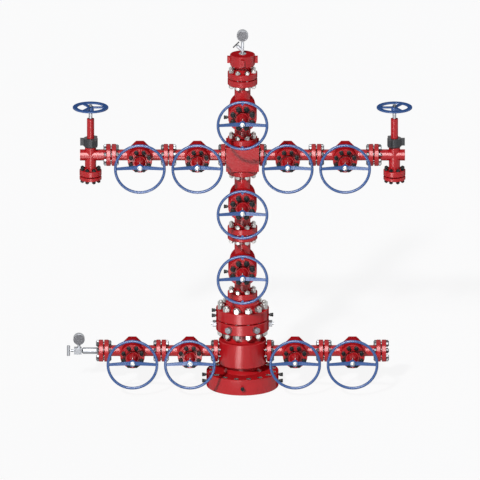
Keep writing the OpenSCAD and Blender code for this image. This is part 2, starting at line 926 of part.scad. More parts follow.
// Hammer union nut with three lugs, one of them pointing away from the tree
module union_nut(side) {
    r = union_nut_d / 2;
    chamfer = 14;
    difference() {
        union() {
            rotate_extrude()
                polygon([
                    [0, 0], [r - chamfer, 0], [r, chamfer], [r, union_nut_h - edge],
                    [r - edge, union_nut_h], [0, union_nut_h]
                ]);
            for (i = [0 : 2])
                rotate([0, 0, i * 120 + (side > 0 ? 0 : 180)])
                    translate([0, -union_lug_w / 2, union_lug_z])
                        cube([r + union_lug_l, union_lug_w, union_lug_h]);
        }
        translate([0, 0, union_nut_h - choke_tube_seat])
            cylinder(d = choke_tube_d + 2 * fitting_clearance, h = choke_tube_seat + cut);
    }
}

module choke_union_nuts() {
    color(dark_steel)
        for (side = [-1, 1])
            translate([side * choke_x, 0, union_nut_z])
                union_nut(side);
}

// Bonnet tubes that stand in the union nuts and carry the choke stems
module choke_bonnet_tubes() {
    floor_t = 15;
    tube_l = choke_tube_l + choke_tube_seat;
    color(paint_red)
        for (side = [-1, 1])
            translate([side * choke_x, 0, choke_tube_top_z - tube_l])
                difference() {
                    chamfered_disc(choke_tube_d, tube_l, edge / 2);
                    translate([0, 0, floor_t])
                        cylinder(d = choke_stem_d + 2 * stem_clearance, h = tube_l);
                }
}

// Choke stem: rises and falls in the bonnet tube, with a journal for the wheel
choke_travel = 30;
choke_journal_d = 22;
module choke_stem(side) {
    below = choke_stem_l + choke_tube_l - choke_travel;
    color(bare_steel)
        translate([side * choke_x, 0, choke_hub_z]) {
            translate([0, 0, -below])
                cylinder(d = choke_stem_d, h = below);
            cylinder(d = choke_journal_d, h = choke_hub_l + 6);
        }
}

module left_choke_stem() {
    choke_stem(-1);
}

module right_choke_stem() {
    choke_stem(1);
}

// Choke handwheel: flat rim, three spokes and a bored hub that turns on the journal
module choke_wheel(side) {
    rim_z = choke_hub_l - choke_rim_t;
    inner_r = choke_wheel_d / 2 - choke_rim_w;
    color(paint_blue)
        translate([side * choke_x, 0, choke_hub_z + 0.3])
            difference() {
                union() {
                    cylinder(d = choke_hub_d, h = choke_hub_l);
                    translate([0, 0, rim_z])
                        difference() {
                            chamfered_disc(choke_wheel_d, choke_rim_t, 3);
                            translate([0, 0, -cut])
                                cylinder(r = inner_r, h = choke_rim_t + 2 * cut);
                        }
                    for (i = [0 : 2])
                        rotate([0, 0, i * 120 + (side > 0 ? 180 : 0)])
                            translate([0, -choke_spoke_w / 2, rim_z + 1])
                                cube([inner_r + 4, choke_spoke_w, choke_rim_t - 2]);
                }
                translate([0, 0, -cut])
                    cylinder(d = choke_journal_d + 2 * stem_clearance, h = choke_hub_l + 2 * cut);
            }
}

module left_choke_wheel() {
    choke_wheel(-1);
}

module right_choke_wheel() {
    choke_wheel(1);
}

// Tree cap adapter: flange on the swab valve and the neck that carries the cap
module tree_cap_adapter() {
    color(paint_red)
        translate([0, 0, cap_flange_z]) {
            flange(run_flange, cap_neck_d);
            cylinder(d = cap_neck_d, h = run_flange_t + cap_neck_h);
        }
}

// Tree cap: round cap with a tapered foot, four hammer lugs and a bare collar for the needle valve
module tree_cap() {
    r = cap_d / 2;
    lug_z = cap_h - cap_lug_h - 20;
    foot_r = cap_foot_d / 2;
    taper_r = r - foot_r;
    color(paint_red)
        translate([0, 0, cap_z]) {
            rotate_extrude()
                polygon([
                    [0, 0],
                    for (a = [0 : 15 : 90])
                        [foot_r + taper_r * sin(a), cap_taper_h * (1 - cos(a))],
                    [r, cap_h - edge], [r - edge, cap_h], [0, cap_h]
                ]);
            for (i = [0 : 3])
                rotate([0, 0, i * 90])
                    translate([0, -cap_lug_w / 2, lug_z])
                        cube([r + cap_lug_l, cap_lug_w, cap_lug_h]);
        }
}

// Needle valve sizes: the hexagon body, its place, and the fit of the stem in its bonnet
needle_body_h = 62;
needle_body_drop = 12;
needle_bore_l = 24;
needle_shank_l = 20;
tee_gap = 6;
top_needle_tilt = 45;

// Needle valve's bonnet along +z, bored for the stem
module needle_bonnet(length) {
    difference() {
        hex_bar(needle_bonnet_af, length);
        translate([0, 0, length - needle_bore_l])
            cylinder(d = needle_stem_d + 2 * stem_clearance, h = needle_bore_l + cut);
    }
}

// Tee handle on its stem, along +z in a bonnet of that length
module tee_handle(length, bar_d, bar_l) {
    bar_z = length + tee_gap + bar_d / 2;
    translate([0, 0, length - needle_shank_l])
        cylinder(d = needle_stem_d, h = bar_z - length + needle_shank_l);
    translate([0, 0, bar_z])
        rotate([0, 90, 0])
            translate([0, 0, -bar_l / 2])
                chamfered_disc(bar_d, bar_l, 2);
}

top_needle_z = cap_top_z + collar_h + 24;

module at_top_needle() {
    translate([0, 0, top_needle_z])
        rotate([0, -top_needle_tilt, 0])
            children();
}

annulus_block_x = annulus_end_x + wing_flange_t + nipple_l + nipple_cone_l + annulus_block_l / 2;

module at_annulus_needle() {
    translate([-annulus_block_x - annulus_block_l / 2, 0, annulus_z])
        rotate([0, -90, 0])
            children();
}

// Annulus needle valve: block with a round plug in front, and a bonnet with a round gland
module annulus_needle() {
    translate([-annulus_block_x, 0, annulus_z]) {
        translate([-annulus_block_l / 2, -annulus_block_t / 2, -annulus_block_h / 2])
            cube([annulus_block_l, annulus_block_t, annulus_block_h]);
        rotate([90, 0, 0])
            chamfered_disc(block_plug_d, annulus_block_t / 2 + block_plug_l, 2);
    }
    at_annulus_needle()
        difference() {
            union() {
                cylinder(d = gland_ball_d * 0.75, h = annulus_bonnet_l);
                translate([0, 0, annulus_bonnet_l - gland_ball_d / 2])
                    sphere(d = gland_ball_d);
            }
            translate([0, 0, annulus_bonnet_l - needle_bore_l])
                cylinder(d = needle_stem_d + 2 * stem_clearance, h = needle_bore_l + gland_ball_d);
        }
}

// Needle valves: an angled one on the tree cap and a straight one at the end of the annulus
module needle_valves() {
    pipe_d = 18;
    body_af = 24;
    color(bare_steel) {
        translate([0, 0, cap_top_z])
            chamfered_disc(collar_d, collar_h, 1);
        translate([0, 0, cap_top_z + collar_h - 1])
            cylinder(d = pipe_d, h = top_needle_z - cap_top_z - collar_h);
        translate([0, 0, top_needle_z - needle_body_drop])
            hex_bar(body_af, needle_body_h);
        at_top_needle()
            needle_bonnet(top_bonnet_l);
        annulus_needle();
    }
}

module top_tee_handle() {
    color(dark_steel)
        at_top_needle()
            tee_handle(top_bonnet_l, top_tee_d, top_tee_l);
}

module annulus_tee_handle() {
    color(bare_steel)
        at_annulus_needle()
            tee_handle(annulus_bonnet_l, annulus_tee_d, annulus_tee_l);
}

// Gauge heights, and one gauge: round case that faces -y on a hexagon socket
top_gauge_foot_z = top_needle_z + needle_body_h - needle_body_drop;
top_gauge_z = top_gauge_foot_z + top_gauge_rise;
annulus_gauge_z = annulus_z + annulus_gauge_rise;

module pressure_gauge(foot_z, centre_z, hex_l) {
    bezel = 6;
    dial_depth = 3;
    translate([0, 0, foot_z])
        hex_bar(gauge_hex_af, hex_l);
    translate([0, 0, foot_z + hex_l - 1])
        cylinder(d = gauge_stem_d, h = centre_z - foot_z - hex_l);
    translate([0, gauge_t / 2, centre_z])
        rotate([90, 0, 0])
            difference() {
                chamfered_disc(gauge_d, gauge_t, 3);
                translate([0, 0, gauge_t - dial_depth])
                    cylinder(d = gauge_d - 2 * bezel, h = dial_depth + cut);
            }
}

module pressure_gauges() {
    color(bare_steel) {
        pressure_gauge(top_gauge_foot_z, top_gauge_z, top_gauge_hex_l);
        translate([annulus_gauge_shift - annulus_block_x, 0, 0])
            pressure_gauge(annulus_z + annulus_block_h / 2, annulus_gauge_z, annulus_gauge_hex_l);
    }
}

// Flanges at the ends of the annulus run: the left one bored for its nipple, the right one blind
nipple_seat = 20;
module annulus_end_flanges() {
    color(paint_red) {
        translate([-annulus_end_x, 0, annulus_z])
            rotate([0, -90, 0])
                difference() {
                    flange(wing_flange, nipple_d + 20, 6);
                    translate([0, 0, wing_flange_t - nipple_seat])
                        cylinder(d = nipple_d + 2 * fitting_clearance, h = nipple_seat + 10);
                }
        translate([annulus_end_x, 0, annulus_z])
            rotate([0, 90, 0]) {
                cylinder(d = wing_face_d, h = face_h + 1);
                difference() {
                    translate([0, 0, face_h])
                        chamfered_disc(wing_flange_d, wing_flange_t - face_h);
                    stud_holes(wing_flange, wing_flange_t);
                }
            }
    }
}

// Steel nipple between the left one and the needle valve's block, narrowed to a cone at the block
module annulus_nipple() {
    cone_d = 30;
    color(bare_steel)
        translate([-annulus_end_x, 0, annulus_z])
            rotate([0, -90, 0])
                translate([0, 0, wing_flange_t - nipple_seat]) {
                    cylinder(d = nipple_d, h = nipple_seat + nipple_l);
                    translate([0, 0, nipple_seat + nipple_l])
                        cylinder(d1 = nipple_d, d2 = cone_d, h = nipple_cone_l);
                }
}

// Gate valve handwheel: its hub's back face on y = 0, its rim in front of the hub towards -y
module gate_wheel(stubs) {
    rim_r = wheel_d / 2 - rim_tube_d / 2;
    rim_y = -hub_l / 2 - wheel_dish;
    spoke_start = hub_d / 2 - 6;
    bend = hub_d / 2 + 34;
    color(paint_blue) {
        translate([0, rim_y, 0])
            rotate([90, 0, 0])
                rotate_extrude()
                    translate([rim_r, 0])
                        circle(d = rim_tube_d, $fn = 24);
        rotate([90, 0, 0])
            chamfered_disc(hub_d, hub_l, 3);
        for (side = [0, 180])
            rotate([0, side, 0])
                intersection() {
                    translate([0, 0, -spoke_hub_w])
                        linear_extrude(2 * spoke_hub_w)
                            polygon([
                                [spoke_start, -hub_l / 2 + spoke_t / 2],
                                [bend, -hub_l / 2 + spoke_t / 2 - 6],
                                [rim_r, rim_y + spoke_t / 2], [rim_r, rim_y - spoke_t / 2],
                                [bend, -hub_l / 2 - spoke_t / 2 - 6],
                                [spoke_start, -hub_l / 2 - spoke_t / 2]
                            ]);
                    rotate([90, 0, 0])
                        linear_extrude(4 * wheel_dish, center = true)
                            polygon([
                                [0, -spoke_hub_w / 2], [bend, -spoke_hub_w / 2],
                                [rim_r - 16, -spoke_rim_w / 2], [rim_r, -spoke_rim_w / 2 - 10],
                                [rim_r, spoke_rim_w / 2 + 10], [rim_r - 16, spoke_rim_w / 2],
                                [bend, spoke_hub_w / 2], [0, spoke_hub_w / 2]
                            ]);
                }
        if (stubs)
            for (side = [0, 180])
                rotate([0, side, 0])
                    translate([0, rim_y, 0])
                        rotate([90, 0, 0])
                            linear_extrude(stub_t, center = true)
                                polygon([[-stub_w / 2, rim_r], [0, rim_r - stub_l], [stub_w / 2, rim_r]]);
        translate([0, bearing_depth - 10, 0])
            rotate([90, 0, 0])
                cylinder(d = stem_d, h = bearing_depth);
        translate([0, hub_gap / 2, 0])
            cylinder(d = shear_pin_d, h = shear_pin_l, center = true);
    }
}

// A run valve's wheel, with stubs inside its rim
module run_wheel_at(z) {
    translate([0, -run_stem_reach - hub_gap, z])
        gate_wheel(true);
}

// A wing or annulus valve's wheel
module wing_wheel_at(x, z) {
    translate([x, -wing_stem_reach - hub_gap, z])
        gate_wheel(false);
}

module lower_master_wheel() {
    run_wheel_at(lower_master_z);
}

module upper_master_wheel() {
    run_wheel_at(upper_master_z);
}

module swab_wheel() {
    run_wheel_at(swab_z);
}

module left_inner_wing_wheel() {
    wing_wheel_at(-inner_wing_x, cross_z);
}

module left_outer_wing_wheel() {
    wing_wheel_at(-outer_wing_x, cross_z);
}

module right_inner_wing_wheel() {
    wing_wheel_at(inner_wing_x, cross_z);
}

module right_outer_wing_wheel() {
    wing_wheel_at(outer_wing_x, cross_z);
}

module left_inner_annulus_wheel() {
    wing_wheel_at(-inner_annulus_x, annulus_z);
}

module left_outer_annulus_wheel() {
    wing_wheel_at(-outer_annulus_x, annulus_z);
}

module right_inner_annulus_wheel() {
    wing_wheel_at(inner_annulus_x, annulus_z);
}

module right_outer_annulus_wheel() {
    wing_wheel_at(outer_annulus_x, annulus_z);
}

tubing_head();
tubing_head_adapter();
lower_master_valve();
upper_master_valve();
swab_valve();
flow_cross();
left_inner_wing_valve();
left_outer_wing_valve();
right_inner_wing_valve();
right_outer_wing_valve();
left_inner_annulus_valve();
left_outer_annulus_valve();
right_inner_annulus_valve();
right_outer_annulus_valve();
run_bonnets();
wing_bonnets();
annulus_bonnets();
bearing_housings();
left_choke_body();
right_choke_body();
choke_union_nuts();
choke_bonnet_tubes();
choke_outlet_flanges();
tree_cap_adapter();
tree_cap();
annulus_end_flanges();
annulus_nipple();
needle_valves();
pressure_gauges();
lock_down_screws();
test_fittings();
lower_master_wheel();
upper_master_wheel();
swab_wheel();
left_inner_wing_wheel();
left_outer_wing_wheel();
right_inner_wing_wheel();
right_outer_wing_wheel();
left_inner_annulus_wheel();
left_outer_annulus_wheel();
right_inner_annulus_wheel();
right_outer_annulus_wheel();
left_choke_stem();
right_choke_stem();
left_choke_wheel();
right_choke_wheel();
top_tee_handle();
annulus_tee_handle();
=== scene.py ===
"""Dresses the gas wellhead valve stack: studs and nuts, wheel nuts, gauges, paint and studio."""

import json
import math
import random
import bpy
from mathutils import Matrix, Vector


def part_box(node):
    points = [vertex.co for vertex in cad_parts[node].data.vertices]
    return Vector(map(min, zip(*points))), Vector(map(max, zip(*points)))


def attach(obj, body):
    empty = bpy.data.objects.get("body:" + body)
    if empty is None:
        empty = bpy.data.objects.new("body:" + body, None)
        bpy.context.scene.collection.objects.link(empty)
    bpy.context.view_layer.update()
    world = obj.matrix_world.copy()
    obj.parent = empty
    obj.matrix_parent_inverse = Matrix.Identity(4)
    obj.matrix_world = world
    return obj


bl_info = {
    "name": "Wellhead valve stack",
    "version": (1, 0, 0),
    "blender": (4, 5, 0),
    "location": "View3D > Sidebar > Wellhead",
    "description": "Adds fasteners, gauges, finishes and a studio to a gas wellhead valve stack",
    "category": "Object",
}

from collections import namedtuple

import bpy
from bpy.props import FloatProperty, FloatVectorProperty, IntProperty, PointerProperty
from bpy.types import Operator, Panel, PropertyGroup
from mathutils import Matrix, Vector

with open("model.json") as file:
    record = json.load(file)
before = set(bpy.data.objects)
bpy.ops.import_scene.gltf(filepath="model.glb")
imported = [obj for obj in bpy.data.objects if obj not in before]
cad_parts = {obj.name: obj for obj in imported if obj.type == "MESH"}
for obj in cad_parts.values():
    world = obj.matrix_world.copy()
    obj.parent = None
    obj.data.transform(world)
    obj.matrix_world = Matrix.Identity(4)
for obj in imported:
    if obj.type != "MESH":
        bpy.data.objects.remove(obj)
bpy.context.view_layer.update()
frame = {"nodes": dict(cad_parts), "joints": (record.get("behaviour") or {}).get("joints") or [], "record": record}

X_AXIS = Vector((1, 0, 0))
Y_AXIS = Vector((0, 1, 0))
Z_AXIS = Vector((0, 0, 1))
FRONT = -Y_AXIS
MM = 0.001


# Valves and wheels by name, and their places in the frame

SIDES = {"left": -1, "right": 1}
PLACES = ["inner", "outer"]
RUN_VALVES = ["lower_master", "upper_master", "swab"]
WING_VALVES = [f"{side}_{place}_wing" for side in SIDES for place in PLACES]
ANNULUS_VALVES = [f"{side}_{place}_annulus" for side in SIDES for place in PLACES]
GATE_WHEELS = [f"{valve}_wheel" for valve in RUN_VALVES + WING_VALVES + ANNULUS_VALVES]


def centre_of(node):
    """Centre of a CAD node's box."""
    low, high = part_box(node)
    return (low + high) / 2


def solids_of(node):
    """Lowest and highest corners of each separate solid of a CAD node."""
    weld_digits = 5  # corners nearer than 0.01 mm are one
    mesh = frame["nodes"][node].data
    corners = [tuple(round(c, weld_digits) for c in v.co) for v in mesh.vertices]
    leader = {corner: corner for corner in corners}

    def lead(corner):
        while leader[corner] != corner:
            corner = leader[corner]
        return corner

    for face in mesh.polygons:
        first = lead(corners[face.vertices[0]])
        for i in face.vertices[1:]:
            leader[lead(corners[i])] = first
    solids = {}
    for corner in leader:
        solids.setdefault(lead(corner), []).append(corner)
    return [(Vector([min(c) for c in zip(*points)]), Vector([max(c) for c in zip(*points)]))
            for points in solids.values()]


def wheel_centre(wheel):
    """Point on a handwheel's axis at its hub's back face, which is its joint's place."""
    joint = next(j for j in frame["joints"] if j["child"] == wheel)
    return Vector(joint["pos_m"])


# Sizes and colours that a user would change

def linear(hex_colour):
    """An sRGB hex colour as linear red, green and blue."""
    channels = [int(hex_colour[i : i + 2], 16) / 255 for i in (1, 3, 5)]
    return tuple(c / 12.92 if c <= 0.04045 else ((c + 0.055) / 1.055) ** 2.4 for c in channels)


def length_property(name, description, millimetres):
    """A length shown in the sidebar, given here in millimetres."""
    return FloatProperty(name=name, description=description, default=millimetres * MM,
                         min=0, unit="LENGTH", precision=4)


def colour_property(name, description, hex_colour):
    """A colour shown in the sidebar, given here as an sRGB hex value."""
    return FloatVectorProperty(name=name, description=description, default=linear(hex_colour),
                               subtype="COLOR", size=3, min=0, max=1)


class WellheadFasteners(PropertyGroup):
    """Studs and nuts, the bolt circles that they stand on, and what they clamp."""

    head_stud: length_property("Head stud", "Diameter of the studs in the head flange", 38.1)
    head_circle: length_property("Head bolt circle", "Bolt circle of the head flange", 403.2)
    head_count: IntProperty(name="Head studs", description="Studs in the head flange", default=12)
    run_stud: length_property("Run stud", "Diameter of the studs in the run flanges", 25.4)
    run_circle: length_property("Run bolt circle", "Bolt circle of the run flanges", 215.9)
    wing_stud: length_property("Wing stud", "Diameter of the studs in the wing flanges", 19.05)
    wing_circle: length_property("Wing bolt circle", "Bolt circle of the wing flanges", 158.8)
    run_bonnet_stud: length_property("Run bonnet stud", "Diameter of its studs", 28.6)
    run_bonnet_circle: length_property("Run bonnet circle", "Bolt circle of a run bonnet", 187)
    run_bonnet_face: length_property("Run bonnet face", "From the run to its bonnets' face", 237)
    wing_bonnet_stud: length_property("Wing bonnet stud", "Diameter of its studs", 22.2)
    wing_bonnet_circle: length_property("Wing bonnet circle", "Bolt circle of a wing bonnet", 177)
    wing_bonnet_face: length_property("Wing bonnet face", "From a wing to its bonnet's face", 187)
    small_count: IntProperty(name="Small studs", description="Studs in each of the other joints",
                             default=8)
    base_flange: length_property("Bottom flange", "Thickness of the bottom flange", 149)
    head_flange: length_property("Head flange", "Thickness of the head flange", 103.2)
    run_flange: length_property("Run flange", "Thickness of a run flange", 58.4)
    wing_flange: length_property("Wing flange", "Thickness of a wing flange", 44.4)
    outlet_flange: length_property("Outlet flange", "Thickness of a choke's outlet flange", 56)
    companion: length_property("Companion flange", "Thickness of the flange under a choke", 36)
    bonnet_flange: length_property("Bonnet flange", "Thickness of a bonnet's flange", 57)
    stud_depth: length_property("Stud depth", "Depth of a stud in a threaded hole", 38)
    fitting_head: length_property("Fitting head", "Height of a test fitting's head", 16)
    fitting_thread: length_property("Fitting thread", "Thread behind a test fitting's head", 16)


class WellheadWheels(PropertyGroup):
    """Nuts and pins that hold the handwheels."""

    hub: length_property("Hub", "Length of a gate wheel's hub", 30)
    nut_stud: length_property("Wheel nut thread", "Thread of a gate wheel's nut", 19)
    washer: length_property("Washer", "Diameter of the washer under that nut", 40)
    washer_thickness: length_property("Washer thickness", "Thickness of every wheel's washer", 4)
    pin: length_property("Shear pin", "Diameter of the shear pin behind the hub", 7.6)
    pin_length: length_property("Shear pin length", "Length of the shear pin", 89)
    pin_gap: length_property("Shear pin place", "From the hub's back to the shear pin", 4)
    choke_hub: length_property("Choke hub", "Top of a choke wheel's hub above its joint", 34.3)
    choke_nut_stud: length_property("Choke nut thread", "Thread of a choke wheel's nut", 16)
    choke_washer: length_property("Choke washer", "Diameter of the washer under that nut", 34)


class WellheadGauges(PropertyGroup):
    """Faces of the two pressure gauges."""

    radius: length_property("Case radius", "Radius of a gauge's case", 52)
    bezel: length_property("Bezel", "Width of the bezel round the dial", 6)
    dial_depth: length_property("Dial depth", "How deep the dial sits behind the bezel", 3)
    full_scale: IntProperty(name="Full scale", description="Highest number on a dial", default=10)
    figure_height: length_property("Figure height", "Height of a number on a dial", 9)
    annulus_rise: length_property("Annulus gauge", "Centre above the annulus run", 112)


class WellheadFinishes(PropertyGroup):
    """Colours of paint, plating and bare metal."""

    red: colour_property("Red enamel", "Paint of the castings and flanges", "#b21a20")
    blue: colour_property("Blue enamel", "Paint of the handwheels", "#3a5b92")
    zinc: colour_property("Zinc plating", "Nuts of the run and of the gate wheels", "#b2b2b0")
    # Zinc plating darkened as painted shade: the side and choke nuts get a darker copy of the zinc colour, which
    # stands in for their darker reflections
    galvanised: colour_property("Zinc plating with painted shade", "Nuts of the sides and chokes", "#5a5c5e")
    stainless: colour_property("Stainless steel", "Needle valves, nipple and stems", "#94969a")
    phosphate: colour_property("Grey phosphate", "Union nuts and the top tee handle", "#3b3c3e")
    oxide: colour_property("Black oxide", "Bonnet nuts and fittings", "#1d1e1f")
    dial: colour_property("Dial face", "Face and bezel of the gauges", "#5c5c62")
    figures: colour_property("Dial figures", "Numbers, marks and needle", "#8c8c92")


class WellheadStudio(PropertyGroup):
    """Camera, lamps and floor."""

    azimuth: FloatProperty(name="Azimuth", description="Turn of the camera round the stack",
                           default=0.0, subtype="ANGLE")
    elevation: FloatProperty(name="Elevation", description="Height of the camera's view",
                             default=math.radians(17.5), subtype="ANGLE")
    frame_width: length_property("Frame width", "Width that the picture takes in", 4353.6)
    aim_x: FloatProperty(name="Aim across", description="Middle of the picture, across",
                         default=-0.0227, unit="LENGTH")
    aim_z: FloatProperty(name="Aim up", description="Middle of the picture, up",
                         default=1.3828, unit="LENGTH")
    key_strength: FloatProperty(name="Key strength", description="Strength of the sharp key lamp",
                                default=2.9)
    back_strength: FloatProperty(name="Back strength",
                                 description="Strength of the soft back lamp", default=0.8)
    softbox_energy: FloatProperty(name="Softbox", description="Power of the large front softbox",
                                  default=5400.0, unit="POWER")
    floor_light: FloatProperty(name="Floor strips",
                               description="Power of a square metre of floor strip", default=30.0)
    strip_energy: FloatProperty(name="Right strip", description="Power of the strip at the right",
                                default=160.0, unit="POWER")
    fill_strength: FloatProperty(name="Fill strength",
                                 description="Strength of the soft surround", default=0.11)
    fill_colour: colour_property("Fill colour", "Colour of the soft surround", "#c8d0ff")
    paper: colour_property("Paper", "Colour of the floor's paper in the light", "#f3f3f3")


# Shells, and the pieces that they make up

Shell = namedtuple("Shell", "points faces")
SHARP_EDGE = math.radians(32)
RIM_EASE = 0.6 * MM


def around_z(radius, angle, height=0.0):
    """Point at a radius, an angle and a height round the z axis."""
    return Vector((radius * math.cos(angle), radius * math.sin(angle), height))


def skin(rings, hollow=False):
    """Closed shell through rings that hold the same number of points.

    A solid shell is flat at both ends, and in a hollow one the last ring meets the first.
    """
    count = len(rings[0])
    faces = []
    for r in range(len(rings) if hollow else len(rings) - 1):
        below, above = r * count, (r + 1) % len(rings) * count
        for a in range(count):
            b = (a + 1) % count
            faces.append((below + a, below + b, above + b, above + a))
    if not hollow:
        faces.append(tuple(reversed(range(count))))
        faces.append(tuple(range((len(rings) - 1) * count, len(rings) * count)))
    return Shell([point for ring in rings for point in ring], faces)


def lathe(profile, segments, hollow=False):
    """Shell turned round z from (radius, height) pairs."""
    turn = math.tau / segments
    return skin([[around_z(radius, i * turn, height) for i in range(segments)]
                 for radius, height in profile], hollow)


def disc(radius, low, high, segments):
    """Round plate between two heights, its rims eased."""
    ease = min(RIM_EASE, (high - low) / 4)
    return lathe([(radius - ease, low), (radius, low + ease), (radius, high - ease),
                  (radius - ease, high)], segments)


def aimed(origin, direction, turn=0.0):
    """Matrix that puts a shell's z axis along a direction at a point, turned round that axis."""
    spin = direction.to_track_quat("Z", "Y").to_matrix().to_4x4()
    return Matrix.Translation(origin) @ spin @ Matrix.Rotation(turn, 4, "Z")


def risen(matrix, height):
    """The same placing, moved along its own z axis."""
    return matrix @ Matrix.Translation((0, 0, height))


class Assembly:
    """Collects placed shells and makes one mesh object of them."""

    def __init__(self):
        self.points = []
        self.faces = []
        self.finish_numbers = []

    def place(self, shell, matrix, finish_number=0):
        """Adds a shell at a placing, in one of the finishes that build is given."""
        start = len(self.points)
        self.points += [matrix @ p for p in shell.points]
        self.faces += [tuple(start + i for i in face) for face in shell.faces]
        self.finish_numbers += [finish_number] * len(shell.faces)

    def build(self, name, finishes, body="root"):
        """Makes the piece from what was placed, and lets it ride on a body."""
        mesh = bpy.data.meshes.new(name)
        mesh.from_pydata(self.points, [], self.faces)
        for finish in finishes:
            mesh.materials.append(bpy.data.materials[finish])
        mesh.polygons.foreach_set("material_index", self.finish_numbers)
        mesh.polygons.foreach_set("use_smooth", [True] * len(self.faces))
        mesh.set_sharp_from_angle(angle=SHARP_EDGE)
        mesh.update()
        piece = bpy.data.objects.new(name, mesh)
        bpy.context.scene.collection.objects.link(piece)
        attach(piece, body)


# Finishes

FINISH_OF_SLOT = {
    "red_paint": "red_alkyd_enamel",
    "blue_paint": "blue_alkyd_enamel",
    "bright_steel": "stainless_steel",
    "dark_steel": "phosphated_steel",
    "black_steel": "black_oxide_steel",
}


def new_material(name):
    """A material that takes nodes and has none yet."""
    material = bpy.data.materials.new(name)
    material.use_nodes = True
    material.node_tree.nodes.clear()
    return material


def add_node(tree, kind, inputs=None, **settings):
    """Adds a node, sets its properties, and fills or links its inputs."""
    node = tree.nodes.new(kind)
    for key, value in settings.items():
        setattr(node, key, value)
    for key, value in (inputs or {}).items():
        if isinstance(value, bpy.types.NodeSocket):
            tree.links.new(value, node.inputs[key])
        else:
            node.inputs[key].default_value = value
    return node


def shade(colour, factor):
    """A colour made darker or lighter, with alpha."""
    return tuple(min(1.0, c * factor) for c in colour) + (1.0,)


def alkyd_enamel(name, colour):
    """Sprayed alkyd enamel on castings: even deep colour, clear gloss and a faint orange peel.

    The peel of sprayed enamel is about 2 mm wide, drawn 9 mm wide here so that it shows. Its gloss
    fades towards a grazing view, where a white surround would otherwise veil the deep colour.
    """
    patch_mm = 240
    peel_mm = 9
    tree = new_material(name).node_tree
    place = add_node(tree, "ShaderNodeTexCoord").outputs["Object"]
    patches = add_node(tree, "ShaderNodeTexNoise",
                       {"Vector": place, "Scale": 1 / (patch_mm * MM), "Detail": 2.0})
    tint = add_node(tree, "ShaderNodeMix", {
        "Factor": patches.outputs["Fac"], "A": shade(colour, 0.94), "B": shade(colour, 1.06),
    }, data_type="RGBA")
    peel = add_node(tree, "ShaderNodeTexNoise",
                    {"Vector": place, "Scale": 1 / (peel_mm * MM), "Detail": 1.0})
    bump = add_node(tree, "ShaderNodeBump",
                    {"Height": peel.outputs["Fac"], "Strength": 0.04, "Distance": 0.5 * MM})
    slant = add_node(tree, "ShaderNodeLayerWeight", {"Blend": 0.5})
    gloss = add_node(tree, "ShaderNodeMapRange", {
        "Value": slant.outputs["Facing"],
        "From Min": 0.3, "From Max": 0.68, "To Min": 0.5, "To Max": 0.0,
    })
    shader = add_node(tree, "ShaderNodeBsdfPrincipled", {
        "Base Color": tint.outputs["Result"], "Roughness": 0.24, "IOR": 1.41,
        "Specular IOR Level": gloss.outputs["Result"], "Normal": bump.outputs["Normal"],
    })
    add_node(tree, "ShaderNodeOutputMaterial", {"Surface": shader.outputs["BSDF"]})


def plated_steel(name, colour, roughness):
    """Turned steel, plated or bare: metallic, with fine tool marks that blur its reflections.

    Tool marks are 0.2 mm apart on the real nuts, drawn 3 mm apart here so that they show.
    """
    mark_mm = 3
    tree = new_material(name).node_tree
    place = add_node(tree, "ShaderNodeTexCoord").outputs["Object"]
    marks = add_node(tree, "ShaderNodeTexNoise",
                     {"Vector": place, "Scale": 1 / (mark_mm * MM), "Detail": 3.0})
    blur = add_node(tree, "ShaderNodeMapRange", {
        "Value": marks.outputs["Fac"], "To Min": 0.75 * roughness, "To Max": 1.3 * roughness})
    tint = add_node(tree, "ShaderNodeMix", {
        "Factor": marks.outputs["Fac"], "A": shade(colour, 0.86), "B": shade(colour, 1.08),
    }, data_type="RGBA")
    bump = add_node(tree, "ShaderNodeBump",
                    {"Height": marks.outputs["Fac"], "Strength": 0.15, "Distance": 0.4 * MM})
    shader = add_node(tree, "ShaderNodeBsdfPrincipled", {
        "Base Color": tint.outputs["Result"], "Metallic": 1.0,
        "Roughness": blur.outputs["Result"], "Normal": bump.outputs["Normal"],
    })
    add_node(tree, "ShaderNodeOutputMaterial", {"Surface": shader.outputs["BSDF"]})


def oxide_steel(name, colour, roughness, metallic):
    """Chemically blackened or phosphated steel: a dull dark coat over machined metal.

    The coat's crystals are too fine to see, and are drawn as specks 4 mm wide.
    """
    speck_mm = 4
    tree = new_material(name).node_tree
    place = add_node(tree, "ShaderNodeTexCoord").outputs["Object"]
    specks = add_node(tree, "ShaderNodeTexNoise",
                      {"Vector": place, "Scale": 1 / (speck_mm * MM), "Detail": 4.0})
    tint = add_node(tree, "ShaderNodeMix", {
        "Factor": specks.outputs["Fac"], "A": shade(colour, 0.75), "B": shade(colour, 1.25),
    }, data_type="RGBA")
    bump = add_node(tree, "ShaderNodeBump",
                    {"Height": specks.outputs["Fac"], "Strength": 0.2, "Distance": 0.4 * MM})
    shader = add_node(tree, "ShaderNodeBsdfPrincipled", {
        "Base Color": tint.outputs["Result"], "Metallic": metallic, "Roughness": roughness,
        "Specular IOR Level": 0.15, "Normal": bump.outputs["Normal"],
    })
    add_node(tree, "ShaderNodeOutputMaterial", {"Surface": shader.outputs["BSDF"]})


